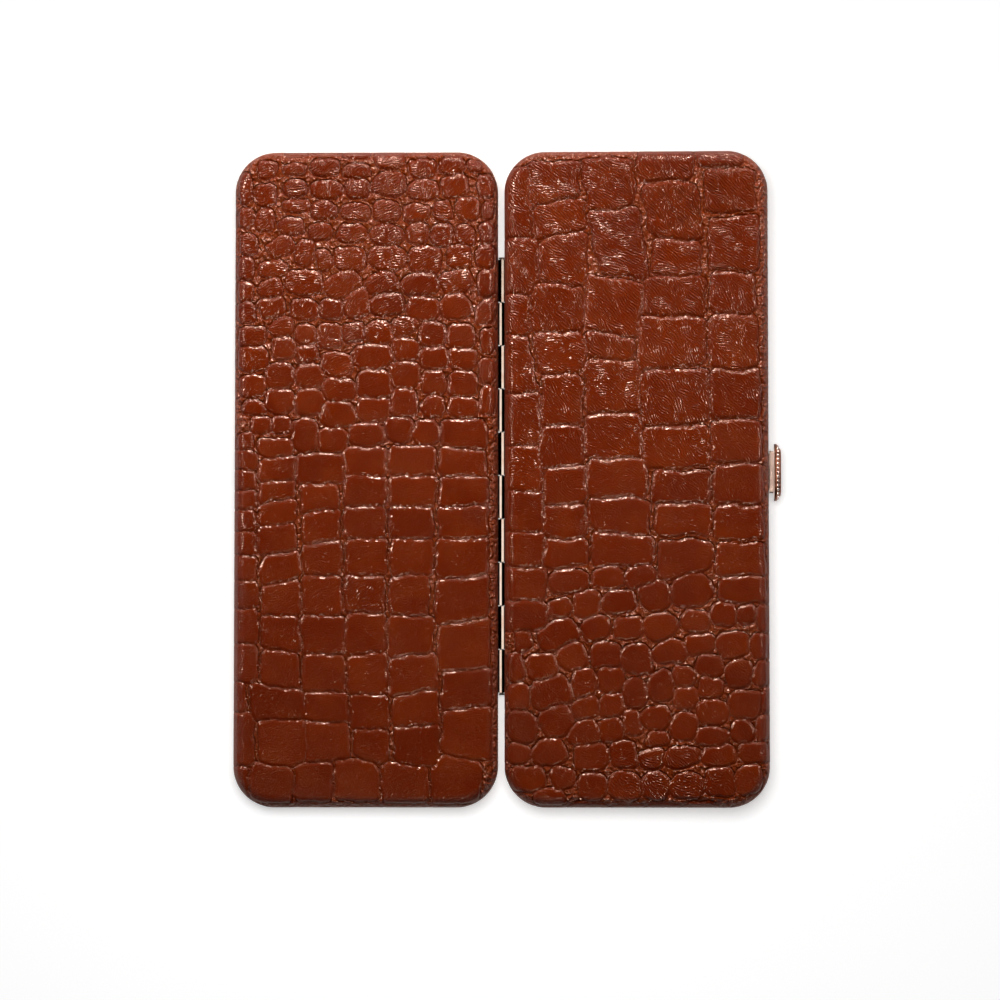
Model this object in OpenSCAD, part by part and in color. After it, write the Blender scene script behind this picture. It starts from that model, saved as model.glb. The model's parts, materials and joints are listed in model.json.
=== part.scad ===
// A slim framed case for manicure tools, open and lying with its outer faces up.
// Each half is drawn in its own frame: the hinge axis is the Y axis, the rim faces down,
// the outer face is up, and the half reaches out along +X. The halves are then set down
// on the table on the hinge, the left rim and the clasp's plate.

/* [Case halves] */
// Length of the case, along the hinge
case_length = 160; // [130:5:200]
// Width of one half, across the hinge
half_width = 64.3; // [50:1:90]
// Depth of one half, from its rim to its outer face
half_depth = 9; // [8:0.5:14]
// Radius of the corners, seen from above
corner_radius = 10; // [7:1:16]
// Rounding round the outer face
edge_radius = 3; // [1.5:0.5:4]
// Distance from the hinge axis to the side of a half
side_gap = 0.85; // [0.8:0.05:1.1]
// Gap between the two rims of the shut case
seam_gap = 0.1; // [0.06:0.02:0.3]

/* [Frame] */
// Thickness of the frame's sheet metal
frame_sheet = 0.5; // [0.4:0.05:0.7]
// Height of the frame's band, from the rim plane
frame_height = 3; // [2.8:0.1:4]
// Height of the frame's inner fold, from the rim plane
fold_height = 1.6; // [1.2:0.1:2]
// Rounding of the frame's outer edge at the rim
frame_round = 0.4; // [0.2:0.05:0.5]

/* [Layers] */
// Thickness of the leather
leather_wall = 0.8; // [0.6:0.1:1.2]
// Thickness of the hard shell
shell_wall = 1.2; // [0.8:0.1:1.5]
// Thickness of the lining
lining_wall = 0.5; // [0.3:0.1:0.8]
// Room left for glue between two layers
glue_gap = 0.03; // [0.02:0.01:0.06]

/* [Hinge] */
// Length of the row of knuckles
hinge_length = 106.6; // [80:1:120]
// Distance of the hinge's middle from the case's middle
hinge_offset = 1; // [-4:0.5:4]
// Number of knuckles, both leaves together
knuckle_count = 10; // [6:2:14]
// Outer radius of a knuckle
knuckle_radius = 1; // [0.9:0.05:1.1]
// Radius of the hinge pin
hinge_pin_radius = 0.46; // [0.35:0.01:0.55]
// Radial room between the pin and the knuckles
hinge_pin_play = 0.04; // [0.02:0.01:0.08]
// Gap between neighbouring knuckles
knuckle_gap = 0.2; // [0.1:0.05:0.4]
// Thickness of a hinge leaf
leaf_sheet = 0.3; // [0.2:0.05:0.4]
// Number of rivets in each hinge leaf
hinge_rivet_count = 6; // [3:1:9]

/* [Clasp] */
// Distance of the clasp's middle from the case's middle
clasp_offset = 1.6; // [-4:0.2:4]
// Width of the clasp lever
lever_width = 9.8; // [9:0.2:14]
// Thickness of the clasp's sheet metal
clasp_sheet = 0.4; // [0.3:0.05:0.5]
// Angle that the lever is lifted to free the hook
lever_lift = 13; // [12:1:15]
// Radius of the clasp pin
clasp_pin_radius = 0.3; // [0.25:0.01:0.35]
// Distance of the clasp pin from the side of the case
clasp_pin_out = 0.75; // [0.72:0.01:0.8]
// Height of the clasp pin above the rim plane
clasp_pin_height = 2.3; // [2.1:0.1:2.5]
// Width of the hook
hook_width = 6; // [4:0.5:7]
// Distance that the hook reaches in behind the side of the case
hook_reach = 0.7; // [0.6:0.05:0.8]
// Depth of the hook's upper face below the rim plane
hook_depth = 1.6; // [1.5:0.1:1.7]
// Room between the hook and its window
hook_play = 0.15; // [0.1:0.05:0.25]
// Radial and sideways room between the clasp's moving pieces
clasp_play = 0.05; // [0.03:0.01:0.08]
// Radius of the spring's wire
spring_wire_radius = 0.12; // [0.08:0.01:0.13]
// Full turns of the spring
spring_turns = 4; // [2:1:4]
// Distance between the spring's turns
spring_pitch = 0.7; // [0.66:0.02:0.8]

/* [Clasp plate] */
// Length of the ornamental plate
plate_length = 13.9; // [12:0.2:18]
// Height of the ornamental plate
plate_height = 7.4; // [7:0.1:9]
// Thickness of the ornamental plate at its edge
plate_edge = 0.5; // [0.4:0.05:0.7]
// Height of the plate's raised middle above its edge
plate_rise = 0.9; // [0.5:0.1:1.2]
// Radius of the beads in the plate's border
bead_radius = 0.45; // [0.3:0.05:0.5]
// Number of beads in the plate's border
bead_count = 32; // [20:1:34]

/* [Rivets] */
// Radius of a rivet's shank
rivet_radius = 0.25; // [0.2:0.01:0.3]
// Radius of a rivet's head
rivet_head_radius = 0.5; // [0.4:0.05:0.6]
// Height of a rivet's head
rivet_head_height = 0.2; // [0.15:0.05:0.25]

/* [Inside] */
// Thickness of the tool board in the left half
board_sheet = 1; // [0.8:0.1:1.2]
// Gap between the tool board and the lining's sides
board_margin = 1; // [0.5:0.1:3]
// Width of an elastic band
band_width = 9; // [6:1:14]
// Thickness of an elastic band
band_sheet = 0.6; // [0.4:0.1:0.8]
// Height of a loop of elastic above the board
loop_height = 2.2; // [1.6:0.1:2.6]
// Number of loops in an elastic band
loop_count = 5; // [3:1:6]
// Distance between the two elastic bands
band_spacing = 62; // [40:1:90]
// Width of the flat stitched stretch between two loops
stitch_width = 1.6; // [1.2:0.1:2.5]
// Length of the slip pocket in the right half
pocket_length = 92; // [60:1:110]
// Thickness of the slip pocket's panel
pocket_sheet = 0.6; // [0.4:0.1:0.8]
// Width of the hem at the pocket's mouth
hem_width = 4; // [2:0.5:8]
// Extra thickness of the pocket's hem
hem_sheet = 0.5; // [0.3:0.1:0.8]

/* [Hidden] */
$fn = 48;

// Colours of the finishes
leather_color = [0.42, 0.16, 0.07];
metal_color = [0.80, 0.66, 0.57];
shell_color = [0.30, 0.26, 0.22];
lining_color = [0.72, 0.60, 0.45];
elastic_color = [0.25, 0.12, 0.07];

// The layers, as distances in from the outline of a half
past = 1;
shell_inset = max(leather_wall, frame_sheet + glue_gap + leaf_sheet) + glue_gap;
shell_inner_inset = shell_inset + shell_wall;
lining_inset = shell_inner_inset + glue_gap;
mouth_inset = lining_inset + max(lining_wall, frame_sheet);
lining_inner_inset = lining_inset + lining_wall;

// The layers, as heights above the rim plane, which lies through the hinge axis
rim_z = seam_gap / 2;
shelf_z = rim_z + frame_sheet;
shell_bottom_z = shelf_z + glue_gap;
leather_bottom_z = frame_height + glue_gap;
shell_top_z = half_depth - leather_wall - glue_gap;
shell_ceiling_z = shell_top_z - shell_wall;
lining_bottom_z = fold_height + glue_gap;
lining_top_z = shell_ceiling_z - glue_gap;
lining_ceiling_z = lining_top_z - lining_wall;
least_round = 0.2;

// Outline of a half: middle, corner centres and sides
middle_x = side_gap + half_width / 2;
core_x = half_width / 2 - corner_radius;
core_y = case_length / 2 - corner_radius;
outer_x = side_gap + half_width;

// Hinge
knuckle_pitch = hinge_length / knuckle_count;
knuckle_bore_radius = hinge_pin_radius + hinge_pin_play;
leaf_x = side_gap + frame_sheet + glue_gap;
leaf_inner_x = leaf_x + leaf_sheet;
leaf_top_z = frame_height - glue_gap;
pin_head_height = 0.4;
pin_head_radius = (knuckle_radius + hinge_pin_radius) / 2;
pin_head_gap = 0.1;
relief_play = 0.06;
relief_length = hinge_length + 2 * (pin_head_gap + pin_head_height + relief_play + 0.1);
hinge_rivet_pitch = hinge_length / hinge_rivet_count;
rivet_play = 0.02;
wall_rivet_z = (knuckle_radius + relief_play + frame_height) / 2;

// Clasp, as distances out from the side of the case and heights above the rim plane
ear_radius = 2 * clasp_pin_radius + clasp_play;
lever_gap = 0.1;
front_x = clasp_pin_out + ear_radius + lever_gap;
plate_x = front_x + clasp_sheet;
ear_height_z = clasp_pin_height + ear_radius;
shelf_bottom = ear_height_z + lever_gap;
shelf_top = shelf_bottom + clasp_sheet;
swing_room = 0.07;
shelf_lift = (shelf_top - clasp_pin_height) * sin(lever_lift);
shelf_inner = clasp_pin_out - (clasp_pin_out - swing_room - shelf_lift) / cos(lever_lift);
cheek_y = lever_width / 2 - clasp_sheet;
cheek_bottom = clasp_pin_height - ear_radius - 2 * clasp_play;
ear_y = cheek_y - clasp_play - clasp_sheet;
bracket_bottom = rim_z + 0.25;
bracket_top = clasp_pin_height - ear_radius - 2 * clasp_play - 0.05;
bracket_rivet_y = ear_y - rivet_head_radius - 0.3;
bracket_rivet_z = (bracket_bottom + bracket_top) / 2;
bracket_rivet_tail = 0.25;
plate_z = 0.3;
front_margin = 0.3;
plate_rivet_y = 2.8;
plate_rivet_z = plate_z - 0.9;
plate_rivet_radius = 0.4;
plate_rivet_depth = 0.3;
bead_inset = bead_radius + 0.15;
middle_length = plate_length - 4 * bead_radius - 2.2;
middle_height = plate_height - 4 * bead_radius - 2.2;
hook_sheet = clasp_sheet;
window_low = hook_depth - hook_play;
window_high = hook_depth + hook_sheet + 2 * hook_play;
window_width = hook_width + 4 * hook_play;
strike_length = window_width + 5;
spring_radius = clasp_pin_radius + clasp_play + 2 * spring_wire_radius - 0.04;
spring_rings = 8;
spring_sides = 6;
spring_start = 180;
spring_sweep = 360 * spring_turns + 180;
spring_leg = 0.6;

// Inside
board_inset = lining_inner_inset + board_margin;
board_top_z = lining_ceiling_z - glue_gap;
board_bottom_z = board_top_z - board_sheet;
board_reach = half_width - 2 * board_inset;
band_end = 4;
loop_pitch = (board_reach - 2 * band_end) / loop_count;
loop_chord = loop_pitch - stitch_width;
loop_radius = (pow(loop_chord / 2, 2) + pow(loop_height, 2)) / (2 * loop_height);
pocket_inset = lining_inner_inset + 0.3;
pocket_start = -(case_length / 2 - pocket_inset);

// How the halves lie on the table
support_x = outer_x + plate_x + plate_edge / 2;
support_drop = plate_height / 2 - plate_z;
support_reach = sqrt(pow(support_x, 2) + pow(support_drop, 2));
right_tilt = atan2(support_drop, support_x) - asin(knuckle_radius / support_reach);
rim_round_x = outer_x - frame_round;
rim_round_z = rim_z + frame_round;
rim_reach = sqrt(pow(rim_round_x, 2) + pow(rim_round_z, 2));
left_tilt = atan2(rim_round_z, rim_round_x) + asin((knuckle_radius - frame_round) / rim_reach);
centre_shift = (plate_x + plate_edge + plate_rise) / 2;

// Sets a right-hand piece down where it lies
module in_right() {
    translate([-centre_shift, 0, knuckle_radius])
        rotate([0, -right_tilt, 0])
            children();
}

// Sets a left-hand piece down where it lies
module in_left() {
    translate([-centre_shift, 0, knuckle_radius])
        rotate([0, -left_tilt, 0])
            mirror([1, 0, 0])
                children();
}

// Moves a clasp piece from the side of the case to its place
module at_clasp() {
    translate([outer_x, clasp_offset, 0])
        children();
}

// A flat rounded rectangle: the outline of a half, drawn in by a distance
module half_outline(inset) {
    r = corner_radius - inset;
    translate([middle_x, 0]) {
        square([2 * (core_x + r), 2 * core_y], center = true);
        square([2 * core_x, 2 * (core_y + r)], center = true);
        for (x = [-core_x, core_x], y = [-core_y, core_y])
            translate([x, y])
                circle(r);
    }
}

// A flat plate or ring with the outline of a half
module half_plate(inset, bottom, top) {
    translate([0, 0, bottom])
        linear_extrude(top - bottom)
            half_outline(inset);
}

// Section through the edge of a block whose upper edge is round
module edge_section(reach, bottom, top, round) {
    translate([0, bottom])
        square([reach, top - round - bottom]);
    translate([0, top - round])
        square([reach - round, round]);
    translate([reach - round, top - round])
        intersection() {
            circle(round);
            square(round);
        }
}

// A block with the outline of a half and a round upper edge
module rounded_block(inset, bottom, top, round) {
    r = corner_radius - inset;
    translate([middle_x, 0, 0]) {
        translate([-core_x, -core_y, bottom])
            cube([2 * core_x, 2 * core_y, top - bottom]);
        for (turn = [0, 180])
            rotate([0, 0, turn]) {
                translate([core_x, core_y, 0])
                    rotate([90, 0, 0])
                        linear_extrude(2 * core_y)
                            edge_section(r, bottom, top, round);
                translate([-core_x, core_y, 0])
                    rotate([90, 0, 90])
                        linear_extrude(2 * core_x)
                            edge_section(r, bottom, top, round);
                translate([core_x, core_y, 0])
                    rotate_extrude(angle = 90)
                        edge_section(r, bottom, top, round);
                translate([-core_x, core_y, 0])
                    rotate([0, 0, 90])
                        rotate_extrude(angle = 90)
                            edge_section(r, bottom, top, round);
            }
    }
}

// A tray with a round upper edge, open towards the rim
module tray(inset, wall, bottom, top) {
    round = max(edge_radius - inset, least_round);
    inner_round = max(edge_radius - inset - wall, least_round);
    difference() {
        rounded_block(inset, bottom, top, round);
        rounded_block(inset + wall, bottom - past, top - wall, inner_round);
    }
}

// A rivet along +X: a low head, a shank and a flat tail
module rivet(shank, tail) {
    rotate([0, -90, 0])
        cylinder(h = rivet_head_height, r1 = rivet_head_radius, r2 = rivet_head_radius * 0.7);
    rotate([0, 90, 0])
        cylinder(h = shank, r = rivet_radius);
    if (tail > 0)
        translate([shank, 0, 0])
            rotate([0, 90, 0])
                cylinder(h = tail, r = rivet_head_radius * 0.8);
}

// Leather of one half, from the frame's band over the outer face
module leather_cover() {
    color(leather_color)
        tray(0, leather_wall, leather_bottom_z, half_depth);
}

// Hard shell of one half
module shell() {
    color(shell_color)
        tray(shell_inset, shell_wall, shell_bottom_z, shell_top_z);
}

// Lining of one half
module lining() {
    color(lining_color)
        tray(lining_inset, lining_wall, lining_bottom_z, lining_top_z);
}

// Frame of one half: band, rim and inner fold, with room for the hinge and its rivets
module frame_channel() {
    difference() {
        mirror([0, 0, 1])
            rounded_block(0, -frame_height, -rim_z, frame_round);
        half_plate(frame_sheet, shelf_z, frame_height + past);
        half_plate(mouth_inset, -past, frame_height + past);
        translate([-past, hinge_offset - relief_length / 2, -past])
            cube([past + side_gap + frame_sheet + glue_gap / 2, relief_length,
                  past + knuckle_radius + relief_play]);
        hinge_rivet_places()
            translate([side_gap - past, 0, wall_rivet_z])
                rotate([0, 90, 0])
                    cylinder(h = 2 * past, r = rivet_radius + rivet_play);
    }
    difference() {
        half_plate(lining_inset, rim_z, fold_height);
        half_plate(mouth_inset, -past, fold_height + past);
    }
}

// Right frame, drilled for the clasp bracket's rivets
module right_frame_channel() {
    color(metal_color)
        difference() {
            frame_channel();
            at_clasp()
                bracket_rivet_places()
                    translate([-past, 0, 0])
                        rotate([0, 90, 0])
                            cylinder(h = 2 * past, r = rivet_radius + rivet_play);
        }
}

// Left frame, cut out for the clasp's hook
module left_frame_channel() {
    color(metal_color)
        difference() {
            frame_channel();
            hook_window();
        }
}

// Repeats a piece at each of the hinge's rivets
module hinge_rivet_places() {
    for (i = [0 : hinge_rivet_count - 1])
        translate([0, hinge_offset + (i - (hinge_rivet_count - 1) / 2) * hinge_rivet_pitch, 0])
            children();
}

// Repeats a piece at each of the clasp bracket's rivets
module bracket_rivet_places() {
    for (y = [-bracket_rivet_y, bracket_rivet_y])
        translate([0, y, bracket_rivet_z])
            children();
}

// One leaf of the hinge: strip, tabs and every second knuckle from the one given
module hinge_leaf(first) {
    color(metal_color)
        difference() {
            union() {
                translate([leaf_x, hinge_offset - hinge_length / 2, shell_bottom_z])
                    cube([leaf_sheet, hinge_length, leaf_top_z - shell_bottom_z]);
                for (i = [first : 2 : knuckle_count - 1])
                    translate([0, hinge_offset + hinge_length / 2 - (i + 1) * knuckle_pitch, 0]) {
                        translate([0, knuckle_gap / 2, 0])
                            rotate([-90, 0, 0])
                                cylinder(h = knuckle_pitch - knuckle_gap, r = knuckle_radius);
                        translate([0, knuckle_gap / 2, knuckle_radius - leaf_sheet])
                            cube([leaf_inner_x, knuckle_pitch - knuckle_gap, leaf_sheet]);
                    }
            }
            translate([0, hinge_offset - hinge_length / 2 - past, 0])
                rotate([-90, 0, 0])
                    cylinder(h = hinge_length + 2 * past, r = knuckle_bore_radius);
            hinge_rivet_places()
                translate([leaf_x - past, 0, wall_rivet_z])
                    rotate([0, 90, 0])
                        cylinder(h = 2 * past, r = rivet_radius + rivet_play);
        }
}

// Rivets that hold a hinge leaf to the frame's band
module hinge_rivets() {
    color(metal_color)
        hinge_rivet_places()
            translate([side_gap, 0, wall_rivet_z])
                rivet(leaf_inner_x - side_gap, 0);
}

// Pin of the hinge, with a flat head at each end
module hinge_pin_piece() {
    pin_length = hinge_length + 2 * pin_head_gap;
    color(metal_color)
        translate([0, hinge_offset - pin_length / 2, 0])
            rotate([-90, 0, 0]) {
                cylinder(h = pin_length, r = hinge_pin_radius);
                translate([0, 0, pin_length])
                    cylinder(h = pin_head_height, r = pin_head_radius);
                translate([0, 0, -pin_head_height])
                    cylinder(h = pin_head_height, r = pin_head_radius);
            }
}

// Slip pocket on the right lining, with a thicker hem at its mouth
module pocket() {
    pocket_z = lining_ceiling_z - glue_gap - pocket_sheet;
    color(leather_color)
        intersection() {
            half_plate(pocket_inset, pocket_z - hem_sheet, pocket_z + pocket_sheet);
            union() {
                translate([0, pocket_start - past, pocket_z])
                    cube([outer_x, pocket_length + past, pocket_sheet]);
                translate([0, pocket_start + pocket_length - hem_width, pocket_z - hem_sheet])
                    cube([outer_x, hem_width, pocket_sheet + hem_sheet]);
            }
        }
}

// A slot shape: a straight stretch with half-round ends, lying flat
module slot_shape(length, height) {
    square([length - height, height], center = true);
    for (x = [-1, 1])
        translate([x * (length - height) / 2, 0])
            circle(height / 2);
}

// A slot-shaped plate that stands in the clasp's plane, from one distance out to another
module standing_slot(length, height, inner, outer) {
    translate([inner, 0, plate_z])
        rotate([90, 0, 90])
            linear_extrude(outer - inner)
                slot_shape(length, height);
}

// Section of the clasp bracket's ear
module ear_section() {
    translate([clasp_pin_out, clasp_pin_height])
        circle(ear_radius);
    translate([0, bracket_bottom])
        square([clasp_pin_out + ear_radius, clasp_pin_height - bracket_bottom]);
    translate([0, bracket_bottom])
        square([clasp_pin_out, ear_height_z - bracket_bottom]);
}

// Bore along the clasp pin, wider than the pin by some play
module clasp_pin_bore(play) {
    translate([clasp_pin_out, -lever_width, clasp_pin_height])
        rotate([-90, 0, 0])
            cylinder(h = 2 * lever_width, r = clasp_pin_radius + play);
}

// Bracket of the clasp: a base riveted to the frame and two ears for the pin
module clasp_bracket_piece() {
    color(metal_color)
        difference() {
            union() {
                translate([0, -ear_y - clasp_sheet, bracket_bottom])
                    cube([clasp_sheet, 2 * (ear_y + clasp_sheet), bracket_top - bracket_bottom]);
                for (y = [ear_y + clasp_sheet, -ear_y])
                    translate([0, y, 0])
                        rotate([90, 0, 0])
                            linear_extrude(clasp_sheet)
                                ear_section();
            }
            clasp_pin_bore(clasp_play);
            bracket_rivet_places()
                translate([-past, 0, 0])
                    rotate([0, 90, 0])
                        cylinder(h = 2 * past, r = rivet_radius + rivet_play);
        }
}

// Rivets of the clasp bracket
module bracket_rivets() {
    color(metal_color)
        bracket_rivet_places()
            translate([clasp_sheet, 0, 0])
                mirror([1, 0, 0])
                    rivet(clasp_sheet + frame_sheet, bracket_rivet_tail);
}

// Pin of the clasp, with a flat head outside each cheek of the lever
module clasp_pin_piece() {
    head_y = lever_width / 2 + clasp_play;
    color(metal_color)
        translate([clasp_pin_out, 0, clasp_pin_height])
            for (side = [0, 180])
                rotate([0, 0, side])
                    rotate([-90, 0, 0]) {
                        cylinder(h = head_y, r = clasp_pin_radius);
                        translate([0, 0, head_y])
                            cylinder(h = clasp_play * 5, r = 1.6 * clasp_pin_radius);
                    }
}

// A point on the spring's centre line, and the turn that its ring has there
function spring_place(turn, y, rise) = [
    clasp_pin_out + spring_radius * cos(turn),
    y,
    clasp_pin_height + spring_radius * sin(turn) + rise
];

// Centre line of the spring: a straight leg up, the turns round the pin, a straight leg up
spring_steps = spring_rings * (spring_turns + 0.5);
spring_width = spring_pitch * (spring_turns + 0.5);
spring_turn_at = [for (i = [0 : spring_steps]) spring_start + i * spring_sweep / spring_steps];
spring_y_at = [for (i = [0 : spring_steps]) (i / spring_steps - 0.5) * spring_width];
spring_line = concat(
    [spring_place(spring_start, -spring_width / 2, spring_leg)],
    [for (i = [0 : spring_steps]) spring_place(spring_turn_at[i], spring_y_at[i], 0)],
    [spring_place(spring_start + spring_sweep, spring_width / 2, spring_leg)]
);
spring_face = concat([spring_turn_at[0]], spring_turn_at, [spring_turn_at[spring_steps]]);
spring_last = len(spring_line) - 1;
spring_gap = min([
    for (i = [0 : spring_last], j = [0 : spring_last])
        if (j - i > spring_rings / 2) norm(spring_line[j] - spring_line[i]) - 2 * spring_wire_radius
]);

// Spring of the clasp: one wire wound round the pin
module spring_wire() {
    rings = [
        for (i = [0 : spring_last], k = [0 : spring_sides - 1])
            spring_line[i] + spring_wire_radius * [
                cos(spring_face[i]) * cos(k * 360 / spring_sides),
                sin(k * 360 / spring_sides),
                sin(spring_face[i]) * cos(k * 360 / spring_sides)
            ]
    ];
    walls = [
        for (i = [0 : spring_last - 1], k = [0 : spring_sides - 1], half = [0, 1])
            let (a = i * spring_sides + k, b = i * spring_sides + (k + 1) % spring_sides)
            half == 0 ? [a, b, a + spring_sides] : [b, b + spring_sides, a + spring_sides]
    ];
    caps = [
        [for (k = [spring_sides - 1 : -1 : 0]) k],
        [for (k = [0 : spring_sides - 1]) spring_last * spring_sides + k]
    ];
    echo(spring_gap = spring_gap);
    color(metal_color)
        polyhedron(points = rings, faces = concat(walls, caps));
}

// Lever of the clasp: front, shelf, two cheeks and the hook, bent from one sheet
module lever() {
    color(metal_color)
        difference() {
            union() {
                standing_slot(plate_length - 2 * front_margin, plate_height - 2 * front_margin,
                              front_x, plate_x);
                translate([shelf_inner, -lever_width / 2, shelf_bottom])
                    cube([front_x - shelf_inner, lever_width, clasp_sheet]);
                for (y = [-lever_width / 2, cheek_y])
                    translate([shelf_inner, y, cheek_bottom])
                        cube([front_x - shelf_inner, clasp_sheet, shelf_top - cheek_bottom]);
                translate([0, hook_width / 2, 0])
                    rotate([90, 0, 0])
                        linear_extrude(hook_width)
                            polygon([
                                [front_x, -hook_depth],
                                [-hook_reach, -hook_depth],
                                [-hook_reach, -hook_depth - hook_sheet / 3],
                                [hook_sheet - hook_reach, -hook_depth - hook_sheet],
                                [front_x, -hook_depth - hook_sheet]
                            ]);
            }
            clasp_pin_bore(clasp_play);
            plate_rivet_places()
                rotate([0, 90, 0])
                    cylinder(h = 2 * plate_x, r = plate_rivet_radius + rivet_play);
        }
}

// Repeats a piece at each of the ornamental plate's rivets
module plate_rivet_places() {
    for (y = [-plate_rivet_y, plate_rivet_y])
        translate([0, y, plate_rivet_z])
            children();
}

// A place on the border of the ornamental plate, by the distance along it
bead_radius_of_bend = plate_height / 2 - bead_inset;
bead_straight = plate_length - plate_height;
bead_bend = PI * bead_radius_of_bend;
bead_loop = 2 * (bead_straight + bead_bend);
function bead_place(along) =
    along < bead_straight
        ? [along - bead_straight / 2, bead_radius_of_bend]
        : let (turn = 90 - (along - bead_straight) / bead_bend * 180)
          [bead_straight / 2 + bead_radius_of_bend * cos(turn), bead_radius_of_bend * sin(turn)];

// Ornamental plate: a slot-shaped plate with a border of beads and a raised middle
module ornamental_plate() {
    middle_radius = (pow(middle_height / 2, 2) + pow(plate_rise, 2)) / (2 * plate_rise);
    middle_straight = middle_length - middle_height;
    color(metal_color)
        difference() {
            union() {
                standing_slot(plate_length, plate_height, plate_x, plate_x + plate_edge);
                for (i = [0 : bead_count - 1])
                    let (
                        along = i * bead_loop / bead_count,
                        second = along >= bead_loop / 2,
                        place = bead_place(second ? along - bead_loop / 2 : along),
                        side = second ? -1 : 1
                    )
                    translate([plate_x + plate_edge, side * place[0], plate_z + side * place[1]])
                        sphere(bead_radius, $fn = 24);
                intersection() {
                    translate([plate_x + plate_edge / 2, -middle_length, plate_z - middle_height])
                        cube([plate_edge / 2 + plate_rise, 2 * middle_length, 2 * middle_height]);
                    translate([plate_x + plate_edge + plate_rise - middle_radius, 0, plate_z]) {
                        translate([0, -middle_straight / 2, 0])
                            rotate([-90, 0, 0])
                                cylinder(h = middle_straight, r = middle_radius);
                        for (y = [-middle_straight / 2, middle_straight / 2])
                            translate([0, y, 0])
                                sphere(middle_radius);
                    }
                }
            }
            plate_rivet_places()
                rotate([0, 90, 0])
                    cylinder(h = plate_x + plate_rivet_depth + rivet_play,
                             r = plate_rivet_radius + rivet_play);
        }
}

// Rivets between the lever's front and the ornamental plate
module plate_rivets() {
    color(metal_color)
        plate_rivet_places() {
            translate([front_x, 0, 0])
                rotate([0, 90, 0])
                    cylinder(h = clasp_sheet + plate_rivet_depth, r = plate_rivet_radius);
            translate([front_x - rivet_head_height, 0, 0])
                rotate([0, 90, 0])
                    cylinder(h = rivet_head_height, r = 1.5 * plate_rivet_radius);
        }
}

// The window that the hook enters, through the left frame and the strike plate
module hook_window() {
    translate([outer_x - 2 * past, clasp_offset - window_width / 2, window_low])
        cube([3 * past, window_width, window_high - window_low]);
}

// Strike plate: stiffens the left frame round the window
module strike() {
    color(metal_color)
        difference() {
            translate([outer_x - frame_sheet - glue_gap - leaf_sheet, clasp_offset - strike_length / 2,
                       shell_bottom_z])
                cube([leaf_sheet, strike_length, leaf_top_z - shell_bottom_z]);
            hook_window();
        }
}

// Tool board in the left half
module board() {
    color(lining_color)
        half_plate(board_inset, board_bottom_z, board_top_z);
}

// Elastic band across the board: loops with flat stitched stretches between them
module elastic_band(y) {
    color(elastic_color)
        translate([side_gap + board_inset + band_end, y + band_width / 2, board_bottom_z])
            rotate([90, 0, 0])
                linear_extrude(band_width)
                    mirror([0, 1]) {
                        for (i = [0 : loop_count - 1])
                            translate([(i + 0.5) * loop_pitch, 0])
                                loop_section();
                        for (i = [0 : loop_count])
                            translate([i * loop_pitch - stitch_width, 0])
                                square([2 * stitch_width, band_sheet]);
                    }
}

// Section of one loop of elastic
module loop_section() {
    intersection() {
        translate([0, loop_height - loop_radius])
            difference() {
                circle(loop_radius);
                circle(loop_radius - band_sheet);
            }
        translate([-loop_chord / 2, 0])
            square([loop_chord, loop_height]);
    }
}

in_right() leather_cover();  // right_leather_cover
in_right() shell();  // right_shell
in_right() right_frame_channel();  // right_frame
in_right() lining();  // right_lining
in_right() hinge_leaf(0);  // right_hinge_leaf
in_right() hinge_rivets();  // right_hinge_rivets
in_right() hinge_pin_piece();  // hinge_pin
in_right() pocket();  // pocket_panel
in_right() at_clasp() clasp_bracket_piece();  // clasp_bracket
in_right() at_clasp() bracket_rivets();  // clasp_bracket_rivets
in_right() at_clasp() clasp_pin_piece();  // clasp_pin
in_right() at_clasp() spring_wire();  // clasp_spring
in_right() at_clasp() lever();  // clasp_lever
in_right() at_clasp() ornamental_plate();  // clasp_plate
in_right() at_clasp() plate_rivets();  // clasp_plate_rivets
in_left() leather_cover();  // left_leather_cover
in_left() shell();  // left_shell
in_left() left_frame_channel();  // left_frame
in_left() lining();  // left_lining
in_left() hinge_leaf(1);  // left_hinge_leaf
in_left() hinge_rivets();  // left_hinge_rivets
in_left() strike();  // strike_plate
in_left() board();  // tool_board
in_left() elastic_band(band_spacing / 2);  // upper_elastic_band
in_left() elastic_band(-band_spacing / 2);  // lower_elastic_band
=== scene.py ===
"""Looks of a slim framed manicure set case, open and lying with its outer faces up.

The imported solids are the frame. This script dresses them: embossed leather covers, plated
metal, and the cloth and leather pieces inside. Lengths are in millimetres in each half's
own frame: the hinge axis is the Y axis, the rim faces down, the outer face is up, and the
half reaches out along +X. Meshes are set down in the row frame, in metres.
"""

import json
import logging
import math
from dataclasses import dataclass
from enum import Enum
from typing import Iterable, Optional, Sequence, Union

import bmesh
import bpy
import numpy as np
from mathutils import Matrix, Vector

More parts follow.
